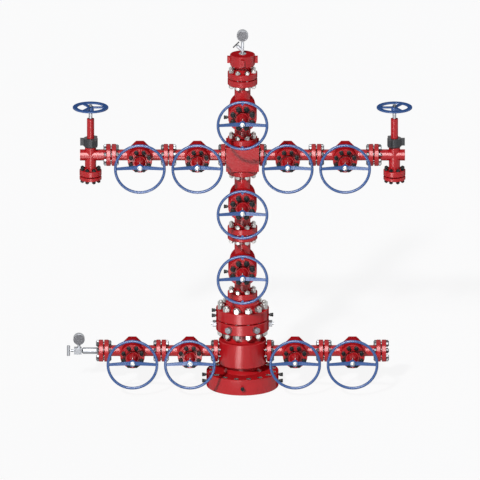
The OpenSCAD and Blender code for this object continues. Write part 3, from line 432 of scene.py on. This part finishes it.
def stoved_enamel(name, colour):
    """Stoved enamel on a pressed dial: dull and even, its very fine grain drawn 1.5 mm wide."""
    grain_mm = 1.5
    tree = new_material(name).node_tree
    place = add_node(tree, "ShaderNodeTexCoord").outputs["Object"]
    grain = add_node(tree, "ShaderNodeTexNoise",
                     {"Vector": place, "Scale": 1 / (grain_mm * MM), "Detail": 1.0})
    tint = add_node(tree, "ShaderNodeMix", {
        "Factor": grain.outputs["Fac"], "A": shade(colour, 0.9), "B": shade(colour, 1.1),
    }, data_type="RGBA")
    shader = add_node(tree, "ShaderNodeBsdfPrincipled",
                      {"Base Color": tint.outputs["Result"], "Roughness": 0.55})
    add_node(tree, "ShaderNodeOutputMaterial", {"Surface": shader.outputs["BSDF"]})


def float_glass(name):
    """Flat float glass: clear straight on, with a sheen that grows towards a grazing view."""
    tree = new_material(name).node_tree
    clear = add_node(tree, "ShaderNodeBsdfTransparent")
    sheen = add_node(tree, "ShaderNodeBsdfGlossy", {"Roughness": 0.08})
    share = add_node(tree, "ShaderNodeFresnel", {"IOR": 1.5})
    mixed = add_node(tree, "ShaderNodeMixShader",
                     {0: share.outputs["Fac"], 1: clear.outputs["BSDF"], 2: sheen.outputs["BSDF"]})
    add_node(tree, "ShaderNodeOutputMaterial", {"Surface": mixed.outputs["Shader"]})


class WELLHEAD_OT_finishes(Operator):
    """Makes the paints and metals and lays them on the cast and machined parts"""

    bl_idname = "wellhead.finishes"
    bl_label = "Paint and plating"

    def execute(self, context):
        colours = context.scene.wellhead_finishes
        alkyd_enamel("red_alkyd_enamel", colours.red)
        alkyd_enamel("blue_alkyd_enamel", colours.blue)
        plated_steel("zinc_plated_steel", colours.zinc, roughness=0.32)
        # A darker copy of the zinc plating, as painted shade for the nuts of the sides and chokes
        plated_steel("zinc_steel_with_painted_shade", colours.galvanised, roughness=0.35)
        plated_steel("stainless_steel", colours.stainless, roughness=0.42)
        oxide_steel("phosphated_steel", colours.phosphate, roughness=0.45, metallic=0.25)
        oxide_steel("black_oxide_steel", colours.oxide, roughness=0.4, metallic=0.35)
        stoved_enamel("dial_enamel", colours.dial)
        stoved_enamel("figure_enamel", colours.figures)
        float_glass("gauge_glass")
        for part in frame["record"]["subparts"]:
            materials = frame["nodes"][part["node"]].data.materials
            materials.clear()
            materials.append(bpy.data.materials[FINISH_OF_SLOT[part["material_slot"]]])
        return {"FINISHED"}


# Studs and nuts

# A ring of studs about an axis through its centre. Their shanks run from low to high along the
# axis, measured from the centre. A nut sits at high, and at low too where the studs go through.
StudRing = namedtuple("StudRing", "centre axis stud circle count low high through")

EIGHTH_INCH = 3.175 * MM
STUD_REACH = 0.34  # how far a stud stands out of its nut, in stud diameters
BLOCK_DEPTH = 10 * MM  # how far a shank is drawn into a block where nothing of it shows
BODY_DEPTH = 12 * MM  # the same behind a bonnet's flange, in the valve's body


def nut_across_flats(stud):
    """Across-flats size of a heavy hexagon nut for that stud."""
    return 1.5 * stud + EIGHTH_INCH


def heavy_nut(stud):
    """Heavy hexagon nut standing on z = 0, as tall as its stud is wide, with chamfered corners."""
    flats = nut_across_flats(stud)
    chamfer_r = 0.475 * flats
    mouth_r = 0.56 * stud
    chamfer_slope = math.tan(math.radians(30))
    points_round = 36
    foot, side, shoulder, top, mouth = [], [], [], [], []
    for i in range(points_round):
        angle = math.tau * i / points_round
        from_flat = angle % (math.pi / 3) - math.pi / 6
        side_r = flats / 2 / math.cos(from_flat)
        drop = (side_r - chamfer_r) * chamfer_slope
        foot.append(around_z(chamfer_r, angle))
        side.append(around_z(side_r, angle, drop))
        shoulder.append(around_z(side_r, angle, stud - drop))
        top.append(around_z(chamfer_r, angle, stud))
        mouth.append(around_z(mouth_r, angle, stud))
    return skin([foot, side, shoulder, top, mouth])


def stud_end(stud, reach):
    """End of a stud past its nut: thread rings, then a chamfered tip. Its foot is at z = 0."""
    pitch = max(3.2 * MM, 0.11 * stud)
    crest_r, root_r, tip_r = stud / 2, stud / 2 - 0.45 * pitch, 0.38 * stud
    inside_nut = 0.3 * stud
    chamfer = 0.1 * stud
    profile = [(crest_r, -inside_nut)]
    height = 0.0
    while height + pitch < reach - chamfer:
        profile += [(crest_r, height), (root_r, height + pitch / 2)]
        height += pitch
    profile += [(crest_r, height), (crest_r, reach - chamfer), (tip_r, reach)]
    return lathe(profile, segments=18)


def shank(stud, low, high):
    """Middle of a stud between two heights, as thick as its thread's pitch line."""
    shank_r = 0.46 * stud
    return lathe([(shank_r, low), (shank_r, high)], segments=14)


def bolt_up(name, stud_rings, finish, seed):
    """Makes one piece of the studs and nuts of some rings, each nut turned its own way."""
    turns = random.Random(seed)
    upside_down = Matrix.Rotation(math.pi, 4, "X")
    studs = Assembly()
    for ring in stud_rings:
        nut = heavy_nut(ring.stud)
        tip = stud_end(ring.stud, STUD_REACH * ring.stud)
        middle = shank(ring.stud, ring.low, ring.high)
        for i in range(ring.count):
            around = aimed(ring.centre, ring.axis, math.tau * (i + 0.5) / ring.count)
            stud_place = around @ Matrix.Translation((ring.circle / 2, 0, 0))
            studs.place(middle, stud_place)
            seats = [risen(stud_place, ring.high)]
            if ring.through:
                seats.append(risen(stud_place, ring.low) @ upside_down)
            for seat in seats:
                turned = seat @ Matrix.Rotation(turns.uniform(0, math.pi / 3), 4, "Z")
                studs.place(nut, turned)
                studs.place(tip, risen(turned, ring.stud))
    studs.build(name, [finish])


def run_stud_rings(sizes):
    """Stud rings of the vertical run, from the adapter up to the tree cap.

    Each points from its seam to the flange that the nuts sit on.
    """
    thick = sizes.run_flange
    seams = [
        (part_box("lower_master_valve")[0].z, Z_AXIS, False),
        (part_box("upper_master_valve")[0].z, Z_AXIS, True),
        (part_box("upper_master_valve")[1].z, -Z_AXIS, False),
        (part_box("swab_valve")[0].z, Z_AXIS, False),
        (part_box("tree_cap_adapter")[0].z, Z_AXIS, True),
    ]
    return [StudRing(Vector((0, 0, height)), axis, sizes.run_stud, sizes.run_circle,
                     sizes.small_count, -thick if through else -BLOCK_DEPTH, thick, through)
            for height, axis, through in seams]


def side_stud_rings(sizes, side, run):
    """Stud rings along a wing or annulus run: at the block, between the valves, at the end."""
    inner, outer = (f"{side}_{place}_{run}_valve" for place in PLACES)
    thick = sizes.wing_flange
    block_depth = sizes.stud_depth if run == "annulus" else BLOCK_DEPTH
    near, far = (0, 1) if side == "right" else (1, 0)
    seams = [(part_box(inner)[near].x, False), (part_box(outer)[near].x, True),
             (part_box(outer)[far].x, True)]
    return [StudRing(Vector((x, 0, centre_of(inner).z)), X_AXIS * SIDES[side], sizes.wing_stud,
                     sizes.wing_circle, sizes.small_count, -thick if through else -block_depth,
                     thick, through)
            for x, through in seams]


class WELLHEAD_OT_flange_studs(Operator):
    """Bolts up the head flange, the vertical run, the wings, the annulus runs and the outlets"""

    bl_idname = "wellhead.flange_studs"
    bl_label = "Flange studs and nuts"

    def execute(self, context):
        sizes = context.scene.wellhead_fasteners
        head = StudRing(Vector((0, 0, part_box("tubing_head")[1].z)), Z_AXIS, sizes.head_stud,
                        sizes.head_circle, sizes.head_count, -sizes.head_flange,
                        sizes.head_flange, True)
        bolt_up("head_flange_studs", [head], "zinc_plated_steel", seed=3)
        bolt_up("run_flange_studs", run_stud_rings(sizes), "zinc_plated_steel",
                seed=5)
        for side in SIDES:
            for run in ("wing", "annulus"):
                bolt_up(f"{side}_{run}_studs", side_stud_rings(sizes, side, run),
                        # The side nuts take the zinc plating darkened as painted shade
                        "zinc_steel_with_painted_shade", seed=7)
            seam = Vector((wheel_centre(f"{side}_choke_wheel").x, 0,
                           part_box(f"{side}_choke_body")[0].z))
            outlet = StudRing(seam, Z_AXIS, sizes.wing_stud, sizes.wing_circle,
                              sizes.small_count, -sizes.companion, sizes.outlet_flange, True)
            bolt_up(f"{side}_choke_outlet_studs", [outlet], "black_oxide_steel",
                    seed=9)
        return {"FINISHED"}


class WELLHEAD_OT_bonnet_studs(Operator):
    """Bolts the bonnets to the valve bodies"""

    bl_idname = "wellhead.bonnet_studs"
    bl_label = "Bonnet studs and nuts"

    def execute(self, context):
        sizes = context.scene.wellhead_fasteners
        large = (sizes.run_bonnet_stud, sizes.run_bonnet_circle, sizes.run_bonnet_face)
        small = (sizes.wing_bonnet_stud, sizes.wing_bonnet_circle, sizes.wing_bonnet_face)
        bonnets = {"run": (RUN_VALVES, large), "wing": (WING_VALVES, small),
                   "annulus": (ANNULUS_VALVES, small)}
        low = -sizes.bonnet_flange - BODY_DEPTH
        for run, (valves, (stud, circle, face)) in bonnets.items():
            hubs = [wheel_centre(f"{valve}_wheel") for valve in valves]
            rings = [StudRing(Vector((hub.x, -face, hub.z)), FRONT, stud, circle,
                              sizes.small_count, low, 0.0, False) for hub in hubs]
            bolt_up(f"{run}_bonnet_studs", rings, "black_oxide_steel", seed=11)
        return {"FINISHED"}


class WELLHEAD_OT_fitting_hexagons(Operator):
    """Puts the hexagon that a wrench turns behind the head of every test fitting"""

    bl_idname = "wellhead.fitting_hexagons"
    bl_label = "Test fitting hexagons"

    def execute(self, context):
        sizes = context.scene.wellhead_fasteners
        hexagons = Assembly()
        for low, high in solids_of("test_fittings"):
            size, centre = high - low, (low + high) / 2
            lengthways = max(range(3), key=lambda i: size[i])
            out = Vector((0, 0, 0))
            out[lengthways] = math.copysign(1, centre[lengthways])
            from_centre = size[lengthways] / 2 - sizes.fitting_head - sizes.fitting_thread
            hexagons.place(heavy_nut(sizes.fitting_thread), aimed(centre + out * from_centre, out))
        hexagons.build("fitting_hexagons", ["black_oxide_steel"])
        return {"FINISHED"}


# Wheel nuts and shear pins

NUT_TURN = 0.2  # radians between the nuts of one gate wheel and the next
PIN_START = 20 * MM  # where a pin's bright sleeve starts, from the stem's axis


def acorn_nut(stud):
    """Squat hexagon nut, and the turned dome over the end of its thread, standing on z = 0."""
    squatness = 0.66
    hexagon = heavy_nut(stud)
    squat_points = [Vector((p.x, p.y, squatness * p.z)) for p in hexagon.points]
    height = squatness * stud
    dome_r, dome_rise = 0.46 * nut_across_flats(stud), 0.5 * stud
    sunk_in_nut = 1 * MM
    steps, last_angle = 6, math.radians(84)
    dome = [(dome_r, height - sunk_in_nut)]
    for i in range(steps + 1):
        angle = last_angle * i / steps
        dome.append((dome_r * math.cos(angle), height + dome_rise * math.sin(angle)))
    return Shell(squat_points, hexagon.faces), lathe(dome, segments=28)


def pin_end(radius, half_length):
    """Bright sleeve on one end of a shear pin, along z, with a chamfered tip."""
    chamfer = 1 * MM
    return lathe([(radius, PIN_START), (radius, half_length - chamfer),
                  (radius - chamfer, half_length)], segments=16)


def fasten_wheel(nuts, seat, washer_diameter, washer_thickness, nut_shells):
    """Places a washer on a hub's end, and a nut's shells on the washer."""
    nuts.place(disc(washer_diameter / 2, 0, washer_thickness, segments=32), seat)
    for shell in nut_shells:
        nuts.place(shell, risen(seat, washer_thickness))


class WELLHEAD_OT_wheel_nuts(Operator):
    """Puts the washer, the acorn nut and the shear pin's ends on every gate valve's wheel"""

    bl_idname = "wellhead.wheel_nuts"
    bl_label = "Gate wheel nuts and pins"

    def execute(self, context):
        sizes = context.scene.wellhead_wheels
        nut_shells = acorn_nut(sizes.nut_stud)
        pin = pin_end(sizes.pin / 2, sizes.pin_length / 2)
        for i, wheel in enumerate(GATE_WHEELS):
            hub = wheel_centre(wheel)
            nuts = Assembly()
            seat = aimed(hub + FRONT * sizes.hub, FRONT, NUT_TURN * i)
            fasten_wheel(nuts, seat, sizes.washer, sizes.washer_thickness, nut_shells)
            for way in (Z_AXIS, -Z_AXIS):
                nuts.place(pin, aimed(hub + Y_AXIS * sizes.pin_gap, way))
            nuts.build(f"{wheel}_nut", ["zinc_plated_steel"], wheel)
        return {"FINISHED"}


class WELLHEAD_OT_choke_nuts(Operator):
    """Puts the washer and the nut on each choke's wheel"""

    bl_idname = "wellhead.choke_nuts"
    bl_label = "Choke wheel nuts"

    def execute(self, context):
        sizes = context.scene.wellhead_wheels
        for side in SIDES:
            wheel = f"{side}_choke_wheel"
            nuts = Assembly()
            seat = aimed(wheel_centre(wheel) + Z_AXIS * sizes.choke_hub, Z_AXIS)
            fasten_wheel(nuts, seat, sizes.choke_washer, sizes.washer_thickness,
                         [heavy_nut(sizes.choke_nut_stud)])
            nuts.build(f"{wheel}_nut", ["zinc_steel_with_painted_shade"], wheel)
        return {"FINISHED"}


# Bolt holes of the bottom flange

class WELLHEAD_OT_hole_liners(Operator):
    """Lines the bolt holes of the bottom flange with their machined, unpainted walls"""

    bl_idname = "wellhead.hole_liners"
    bl_label = "Bottom flange holes"

    def execute(self, context):
        height = context.scene.wellhead_fasteners.base_flange
        holes = next(m["dims"] for m in frame["record"]["mounts"] if m["kind"] == "bolt_pattern")
        clearance, wall = 0.1 * MM, 2.5 * MM
        outer = holes["hole_r_mm"] * MM - clearance
        inner = outer - wall
        liner = lathe([(outer, 0), (outer, height), (inner, height), (inner, 0)],
                      segments=32, hollow=True)
        liners = Assembly()
        for i in range(holes["count"]):
            turn = Matrix.Rotation(math.tau * (i + 0.5) / holes["count"], 4, "Z")
            liners.place(liner, turn @ Matrix.Translation((holes["pcd_mm"] / 2 * MM, 0, 0)))
        liners.build("bottom_flange_hole_walls", ["zinc_plated_steel"])
        return {"FINISHED"}


# Gauges: each face lies in its own x and y, with the bezel's front at z = 0

ZERO_ANGLE = math.radians(225)
SWEEP = math.radians(270)
MARKS_A_NUMBER = 5
PRINTED_NUMBERS = 2  # every second number is printed
NEEDLE_REST = 0.02  # how far past zero the needle rests, as a share of the sweep

# Layout of a dial, in parts of its radius
LONG_MARK, SHORT_MARK, MARK_END = 0.8, 0.86, 0.93
FIGURE_PLACE = 0.62
NEEDLE_TAIL, NEEDLE_TIP = 0.2, 0.76

# Widths on a dial, and heights above it
LONG_MARK_WIDTH, SHORT_MARK_WIDTH = 1.1 * MM, 0.5 * MM
TAIL_WIDTH, TIP_WIDTH = 2.6 * MM, 0.8 * MM
BOSS_RADIUS = 3.6 * MM
PRINT_TOP = 0.5 * MM
NEEDLE_LOW, NEEDLE_HIGH = 1.0 * MM, 1.4 * MM
BOSS_TOP = 1.8 * MM
FIGURE_HALF_THICKNESS = 0.15 * MM

# The dial's plate, the ring round it and the pane over it. The ring laps over the dial's edge and
# ends inside the rim of the case. Below and above are counted from the dial.
RING_LAP = 0.2 * MM
RING_SLOPE = 1 * MM
RING_THICKNESS = 0.4 * MM
CASE_RIM = 3 * MM
PLATE_BELOW, PLATE_ABOVE = 0.4 * MM, 0.3 * MM
EDGE_BELOW, EDGE_ABOVE = 0.3 * MM, 0.2 * MM
PANE_GAP = 0.4 * MM
PANE_LOW, PANE_HIGH = -0.9 * MM, -0.3 * MM


def figure_shell(text, height, place):
    """A printed number as a flat shell in the dial's plane, centred at a point of that plane."""
    curve = bpy.data.curves.new("dial_figure", "FONT")
    curve.body = text
    curve.size = height
    curve.align_x = "CENTER"
    curve.align_y = "CENTER"
    curve.extrude = FIGURE_HALF_THICKNESS
    curve.resolution_u = 2
    figure = bpy.data.objects.new("dial_figure", curve)
    mesh = figure.to_mesh()
    shell = Shell([v.co + place for v in mesh.vertices],
                  [tuple(p.vertices) for p in mesh.polygons])
    figure.to_mesh_clear()
    bpy.data.objects.remove(figure)
    bpy.data.curves.remove(curve)
    return shell


def bar(start, end, start_width, end_width, low, high):
    """Flat tapering bar in the dial's plane, from one point to another."""
    along = (end - start).normalized()
    across = Vector((-along.y, along.x, 0))
    outline = [start - across * start_width / 2, end - across * end_width / 2,
               end + across * end_width / 2, start + across * start_width / 2]
    return skin([[p + Z_AXIS * height for p in outline] for height in (low, high)])


def dial_and_ring(case_r, dial_r, dial_z):
    """Plate that the dial is printed on, and the ring that slopes from its edge to the front."""
    edge_r, ring_r = dial_r - RING_LAP, case_r - CASE_RIM
    plate = disc(edge_r, dial_z - PLATE_BELOW, dial_z + PLATE_ABOVE, segments=64)
    profile = [(edge_r, dial_z + EDGE_ABOVE), (dial_r + RING_SLOPE, 0.0), (ring_r, 0.0),
               (ring_r, -RING_THICKNESS), (edge_r, dial_z - EDGE_BELOW)]
    return [plate, lathe(profile, segments=64, hollow=True)]


def marks_and_numbers(dial_r, dial_z, full_scale, figure_height):
    """Print of a dial, from zero at the lower left round to full scale."""
    shells = []
    top = dial_z + PRINT_TOP
    marks = full_scale * MARKS_A_NUMBER
    for i in range(marks + 1):
        ray = around_z(1, ZERO_ANGLE - SWEEP * i / marks)
        number, past_number = divmod(i, MARKS_A_NUMBER)
        start, width = LONG_MARK, LONG_MARK_WIDTH
        if past_number:
            start, width = SHORT_MARK, SHORT_MARK_WIDTH
        shells.append(bar(ray * (dial_r * start), ray * dial_r * MARK_END, width, width,
                          dial_z, top))
        if not past_number and number % PRINTED_NUMBERS == 0:
            place = ray * dial_r * FIGURE_PLACE + Z_AXIS * top
            shells.append(figure_shell(str(number), figure_height, place))
    return shells


def needle_and_boss(dial_r, dial_z):
    """Needle at rest just past zero, and the boss that it turns on."""
    ray = around_z(1, ZERO_ANGLE - SWEEP * NEEDLE_REST)
    return [bar(-ray * dial_r * NEEDLE_TAIL, ray * dial_r * NEEDLE_TIP, TAIL_WIDTH, TIP_WIDTH,
                dial_z + NEEDLE_LOW, dial_z + NEEDLE_HIGH),
            disc(BOSS_RADIUS, dial_z, dial_z + BOSS_TOP, segments=20)]


class WELLHEAD_OT_gauge_faces(Operator):
    """Makes the dials, numbers, needles, bezels and glasses of the two pressure gauges"""

    bl_idname = "wellhead.gauge_faces"
    bl_label = "Gauge faces"

    def execute(self, context):
        sizes = context.scene.wellhead_gauges
        low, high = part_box("pressure_gauges")
        annulus_z = centre_of("annulus_nipple").z + sizes.annulus_rise
        centres = {"annulus": Vector((low.x + sizes.radius, low.y, annulus_z)),
                   "top": Vector((high.x - sizes.radius, low.y, high.z - sizes.radius))}
        dial_r = sizes.radius - sizes.bezel
        dial_z = -sizes.dial_depth
        dial = dial_and_ring(sizes.radius, dial_r, dial_z)
        figures = marks_and_numbers(dial_r, dial_z, sizes.full_scale, sizes.figure_height)
        figures += needle_and_boss(dial_r, dial_z)
        pane = disc(dial_r - PANE_GAP, PANE_LOW, PANE_HIGH, segments=48)
        for name, centre in centres.items():
            upright = Matrix.Translation(centre) @ Matrix.Rotation(math.pi / 2, 4, "X")
            face = Assembly()
            for finish_number, shells in enumerate((dial, figures)):
                for shell in shells:
                    face.place(shell, upright, finish_number)
            face.build(f"{name}_gauge_face", ["dial_enamel", "figure_enamel"])
            glass = Assembly()
            glass.place(pane, upright)
            glass.build(f"{name}_gauge_glass", ["gauge_glass"])
        return {"FINISHED"}


# Studio

CAMERA_DISTANCE = 12  # metres from the aim, which don't matter in parallel projection
CAMERA_REACH = 100  # metres that it sees

# Where each lamp stands: azimuth and elevation in degrees, and metres from the camera's aim
KEY_PLACE = (-19, 34, 8)
BACK_PLACE = (150, 12, 8)
SOFTBOX_PLACE = (-9, 33, 13)
RIGHT_STRIP_PLACE = (97, 6, 11)

# Apparent width of the suns, and width and height of the area lamps in metres
KEY_WIDTH = math.radians(4)
BACK_WIDTH = math.radians(40)
SOFTBOX_SIZE = (8.5, 13.0)
RIGHT_STRIP_SIZE = (1.2, 7.0)

# Strips of light on the floor in front of the stack, which draw the long highlights on its upright
# walls: distance to the middle, width and depth, in metres
FLOOR_STRIPS = [(1.5, 0.45, 1.3), (3.2, 1.0, 2.1), (6.3, 2.0, 4.1)]
STRIPS_LEFTWARDS = 0.24  # how far to the left a strip lies for each metre in front
STRIP_HEIGHT = 10 * MM

PAPER_GLOW = 0.9  # share of plain white in what the camera sees of the floor
FLOOR_HALF = 20.0  # half the floor's width, in metres
FLOOR_DROP = 0.5 * MM  # how far the floor lies below the stack's foot


def direction_of(azimuth, elevation):
    """Unit vector towards an azimuth, from the front rightwards, and an elevation, in radians."""
    return Vector((math.sin(azimuth) * math.cos(elevation),
                   -math.cos(azimuth) * math.cos(elevation), math.sin(elevation)))


def off_by(point, azimuth, elevation, distance):
    """The place at a distance from a point, with its azimuth and elevation in degrees."""
    return point + direction_of(math.radians(azimuth), math.radians(elevation)) * distance


def set_up(name, data, position, direction):
    """Puts a camera or lamp in the scene at a place, looking in a direction."""
    thing = bpy.data.objects.new(name, data)
    thing.location = position
    thing.rotation_mode = "QUATERNION"
    thing.rotation_quaternion = direction.to_track_quat("-Z", "Y")
    bpy.context.scene.collection.objects.link(thing)
    return thing


def hide_lamp(lamp, *rays):
    """Keeps a lamp out of what the camera sees and out of some kinds of ray."""
    for ray in ("camera", *rays):
        setattr(lamp, f"visible_{ray}", False)


def sun(name, strength, place, aim, width):
    """Distant lamp for the diffuse light alone, so that it draws no spots on paint or metal."""
    data = bpy.data.lights.new(name, "SUN")
    data.energy = strength
    data.angle = width
    position = off_by(aim, *place)
    hide_lamp(set_up(name, data, position, aim - position), "glossy")


def area_lamp(name, power, position, target, size):
    """Rectangular lamp that shines from a place to a target."""
    data = bpy.data.lights.new(name, "AREA")
    data.energy = power
    data.shape = "RECTANGLE"
    data.size, data.size_y = size
    lamp = set_up(name, data, position, target - position)
    hide_lamp(lamp)
    return lamp


def seen_white(tree, share, dim, kind):
    """Mixes a shader with plain white for the camera and for what metal and glass show."""
    path = add_node(tree, "ShaderNodeLightPath")
    direct = add_node(tree, "ShaderNodeMath", {
        0: path.outputs["Is Camera Ray"], 1: path.outputs["Is Glossy Ray"]}, operation="MAXIMUM")
    seen = add_node(tree, "ShaderNodeMath", {
        0: direct.outputs[0], 1: path.outputs["Is Transmission Ray"]}, operation="MAXIMUM")
    part = add_node(tree, "ShaderNodeMath", {0: seen.outputs[0], 1: share}, operation="MULTIPLY")
    white = add_node(tree, kind, {"Color": (1, 1, 1, 1), "Strength": 1.0})
    return add_node(tree, "ShaderNodeMixShader",
                    {0: part.outputs[0], 1: dim.outputs[0], 2: white.outputs[0]})


def white_world(strength, colour):
    """Soft even surround that the camera, metal and glass see as plain white."""
    world = bpy.data.worlds.new("studio_surround")
    world.use_nodes = True
    tree = world.node_tree
    tree.nodes.clear()
    soft = add_node(tree, "ShaderNodeBackground", {"Color": (*colour, 1.0), "Strength": strength})
    mixed = seen_white(tree, 1.0, soft, "ShaderNodeBackground")
    add_node(tree, "ShaderNodeOutputWorld", {"Surface": mixed.outputs["Shader"]})
    bpy.context.scene.world = world


def studio_paper(name, colour):
    """Matt white studio paper that keeps a soft shadow and melts into the white behind it."""
    material = new_material(name)
    tree = material.node_tree
    matt = add_node(tree, "ShaderNodeBsdfDiffuse", {"Color": (*colour, 1.0)})
    mixed = seen_white(tree, PAPER_GLOW, matt, "ShaderNodeEmission")
    add_node(tree, "ShaderNodeOutputMaterial", {"Surface": mixed.outputs["Shader"]})
    return material


class WELLHEAD_OT_studio(Operator):
    """Makes the camera, the lamps, the surround and the floor"""

    bl_idname = "wellhead.studio"
    bl_label = "Studio"

    def execute(self, context):
        studio = context.scene.wellhead_studio
        aim = Vector((studio.aim_x, 0, studio.aim_z))
        self.place_camera(context, studio, aim)
        self.light(studio, aim)
        white_world(studio.fill_strength, studio.fill_colour)
        self.lay_floor(context, studio)
        context.scene.view_settings.view_transform = "Standard"
        return {"FINISHED"}

    def place_camera(self, context, studio, aim):
        """Looks at the stack in parallel projection, as the photo does."""
        data = bpy.data.cameras.new("product_camera")
        data.type = "ORTHO"
        data.ortho_scale = studio.frame_width
        data.clip_end = CAMERA_REACH
        back = direction_of(studio.azimuth, studio.elevation)
        context.scene.camera = set_up("product_camera", data, aim + back * CAMERA_DISTANCE, -back)

    def light(self, studio, aim):
        """Suns give the diffuse light, and the softbox and floor strips only reflections."""
        sun("key_lamp", studio.key_strength, KEY_PLACE, aim, KEY_WIDTH)
        sun("back_lamp", studio.back_strength, BACK_PLACE, aim, BACK_WIDTH)
        softbox = area_lamp("front_softbox", studio.softbox_energy,
                            off_by(aim, *SOFTBOX_PLACE), aim, SOFTBOX_SIZE)
        hide_lamp(softbox, "diffuse")
        for i, (distance, width, depth) in enumerate(FLOOR_STRIPS, start=1):
            spot = Vector((-STRIPS_LEFTWARDS * distance, -distance, STRIP_HEIGHT))
            strip = area_lamp(f"floor_strip_{i}", studio.floor_light * width * depth, spot,
                              spot + Z_AXIS, (width, depth))
            hide_lamp(strip, "diffuse")
        area_lamp("right_strip", studio.strip_energy, off_by(aim, *RIGHT_STRIP_PLACE), aim,
                  RIGHT_STRIP_SIZE)

    def lay_floor(self, context, studio):
        """Lays a square of studio paper under the stack."""
        mesh = bpy.data.meshes.new("studio_floor")
        corners = [(-FLOOR_HALF, -FLOOR_HALF, 0), (FLOOR_HALF, -FLOOR_HALF, 0),
                   (FLOOR_HALF, FLOOR_HALF, 0), (-FLOOR_HALF, FLOOR_HALF, 0)]
        mesh.from_pydata(corners, [], [(0, 1, 2, 3)])
        mesh.materials.append(studio_paper("matt_white_paper", studio.paper))
        floor = bpy.data.objects.new("studio_floor", mesh)
        floor.location.z = -FLOOR_DROP
        context.scene.collection.objects.link(floor)


class WELLHEAD_PT_panel(Panel):
    """Lists the steps that dress the valve stack"""

    bl_idname = "WELLHEAD_PT_panel"
    bl_label = "Wellhead"
    bl_space_type = "VIEW_3D"
    bl_region_type = "UI"
    bl_category = "Wellhead"

    def draw(self, context):
        for step in STEPS:
            self.layout.operator(step.bl_idname)


STEPS = [WELLHEAD_OT_finishes, WELLHEAD_OT_flange_studs, WELLHEAD_OT_bonnet_studs,
         WELLHEAD_OT_fitting_hexagons, WELLHEAD_OT_wheel_nuts, WELLHEAD_OT_choke_nuts,
         WELLHEAD_OT_hole_liners, WELLHEAD_OT_gauge_faces, WELLHEAD_OT_studio]
GROUPS = {"wellhead_fasteners": WellheadFasteners, "wellhead_wheels": WellheadWheels,
          "wellhead_gauges": WellheadGauges, "wellhead_finishes": WellheadFinishes,
          "wellhead_studio": WellheadStudio}
CLASSES = [*GROUPS.values(), *STEPS, WELLHEAD_PT_panel]


def register():
    """Registers the classes and hangs the sizes and colours on the scene."""
    for cls in CLASSES:
        bpy.utils.register_class(cls)
    for name, group in GROUPS.items():
        setattr(bpy.types.Scene, name, PointerProperty(type=group))


def unregister():
    """Takes off what register put on."""
    for name in GROUPS:
        delattr(bpy.types.Scene, name)
    for cls in reversed(CLASSES):
        bpy.utils.unregister_class(cls)


def main():
    """Registers the add-on and runs every step in order."""
    register()
    for step in STEPS:
        name = step.bl_idname.split(".")[1]
        getattr(bpy.ops.wellhead, name)()


if __name__ == "__main__":
    main()
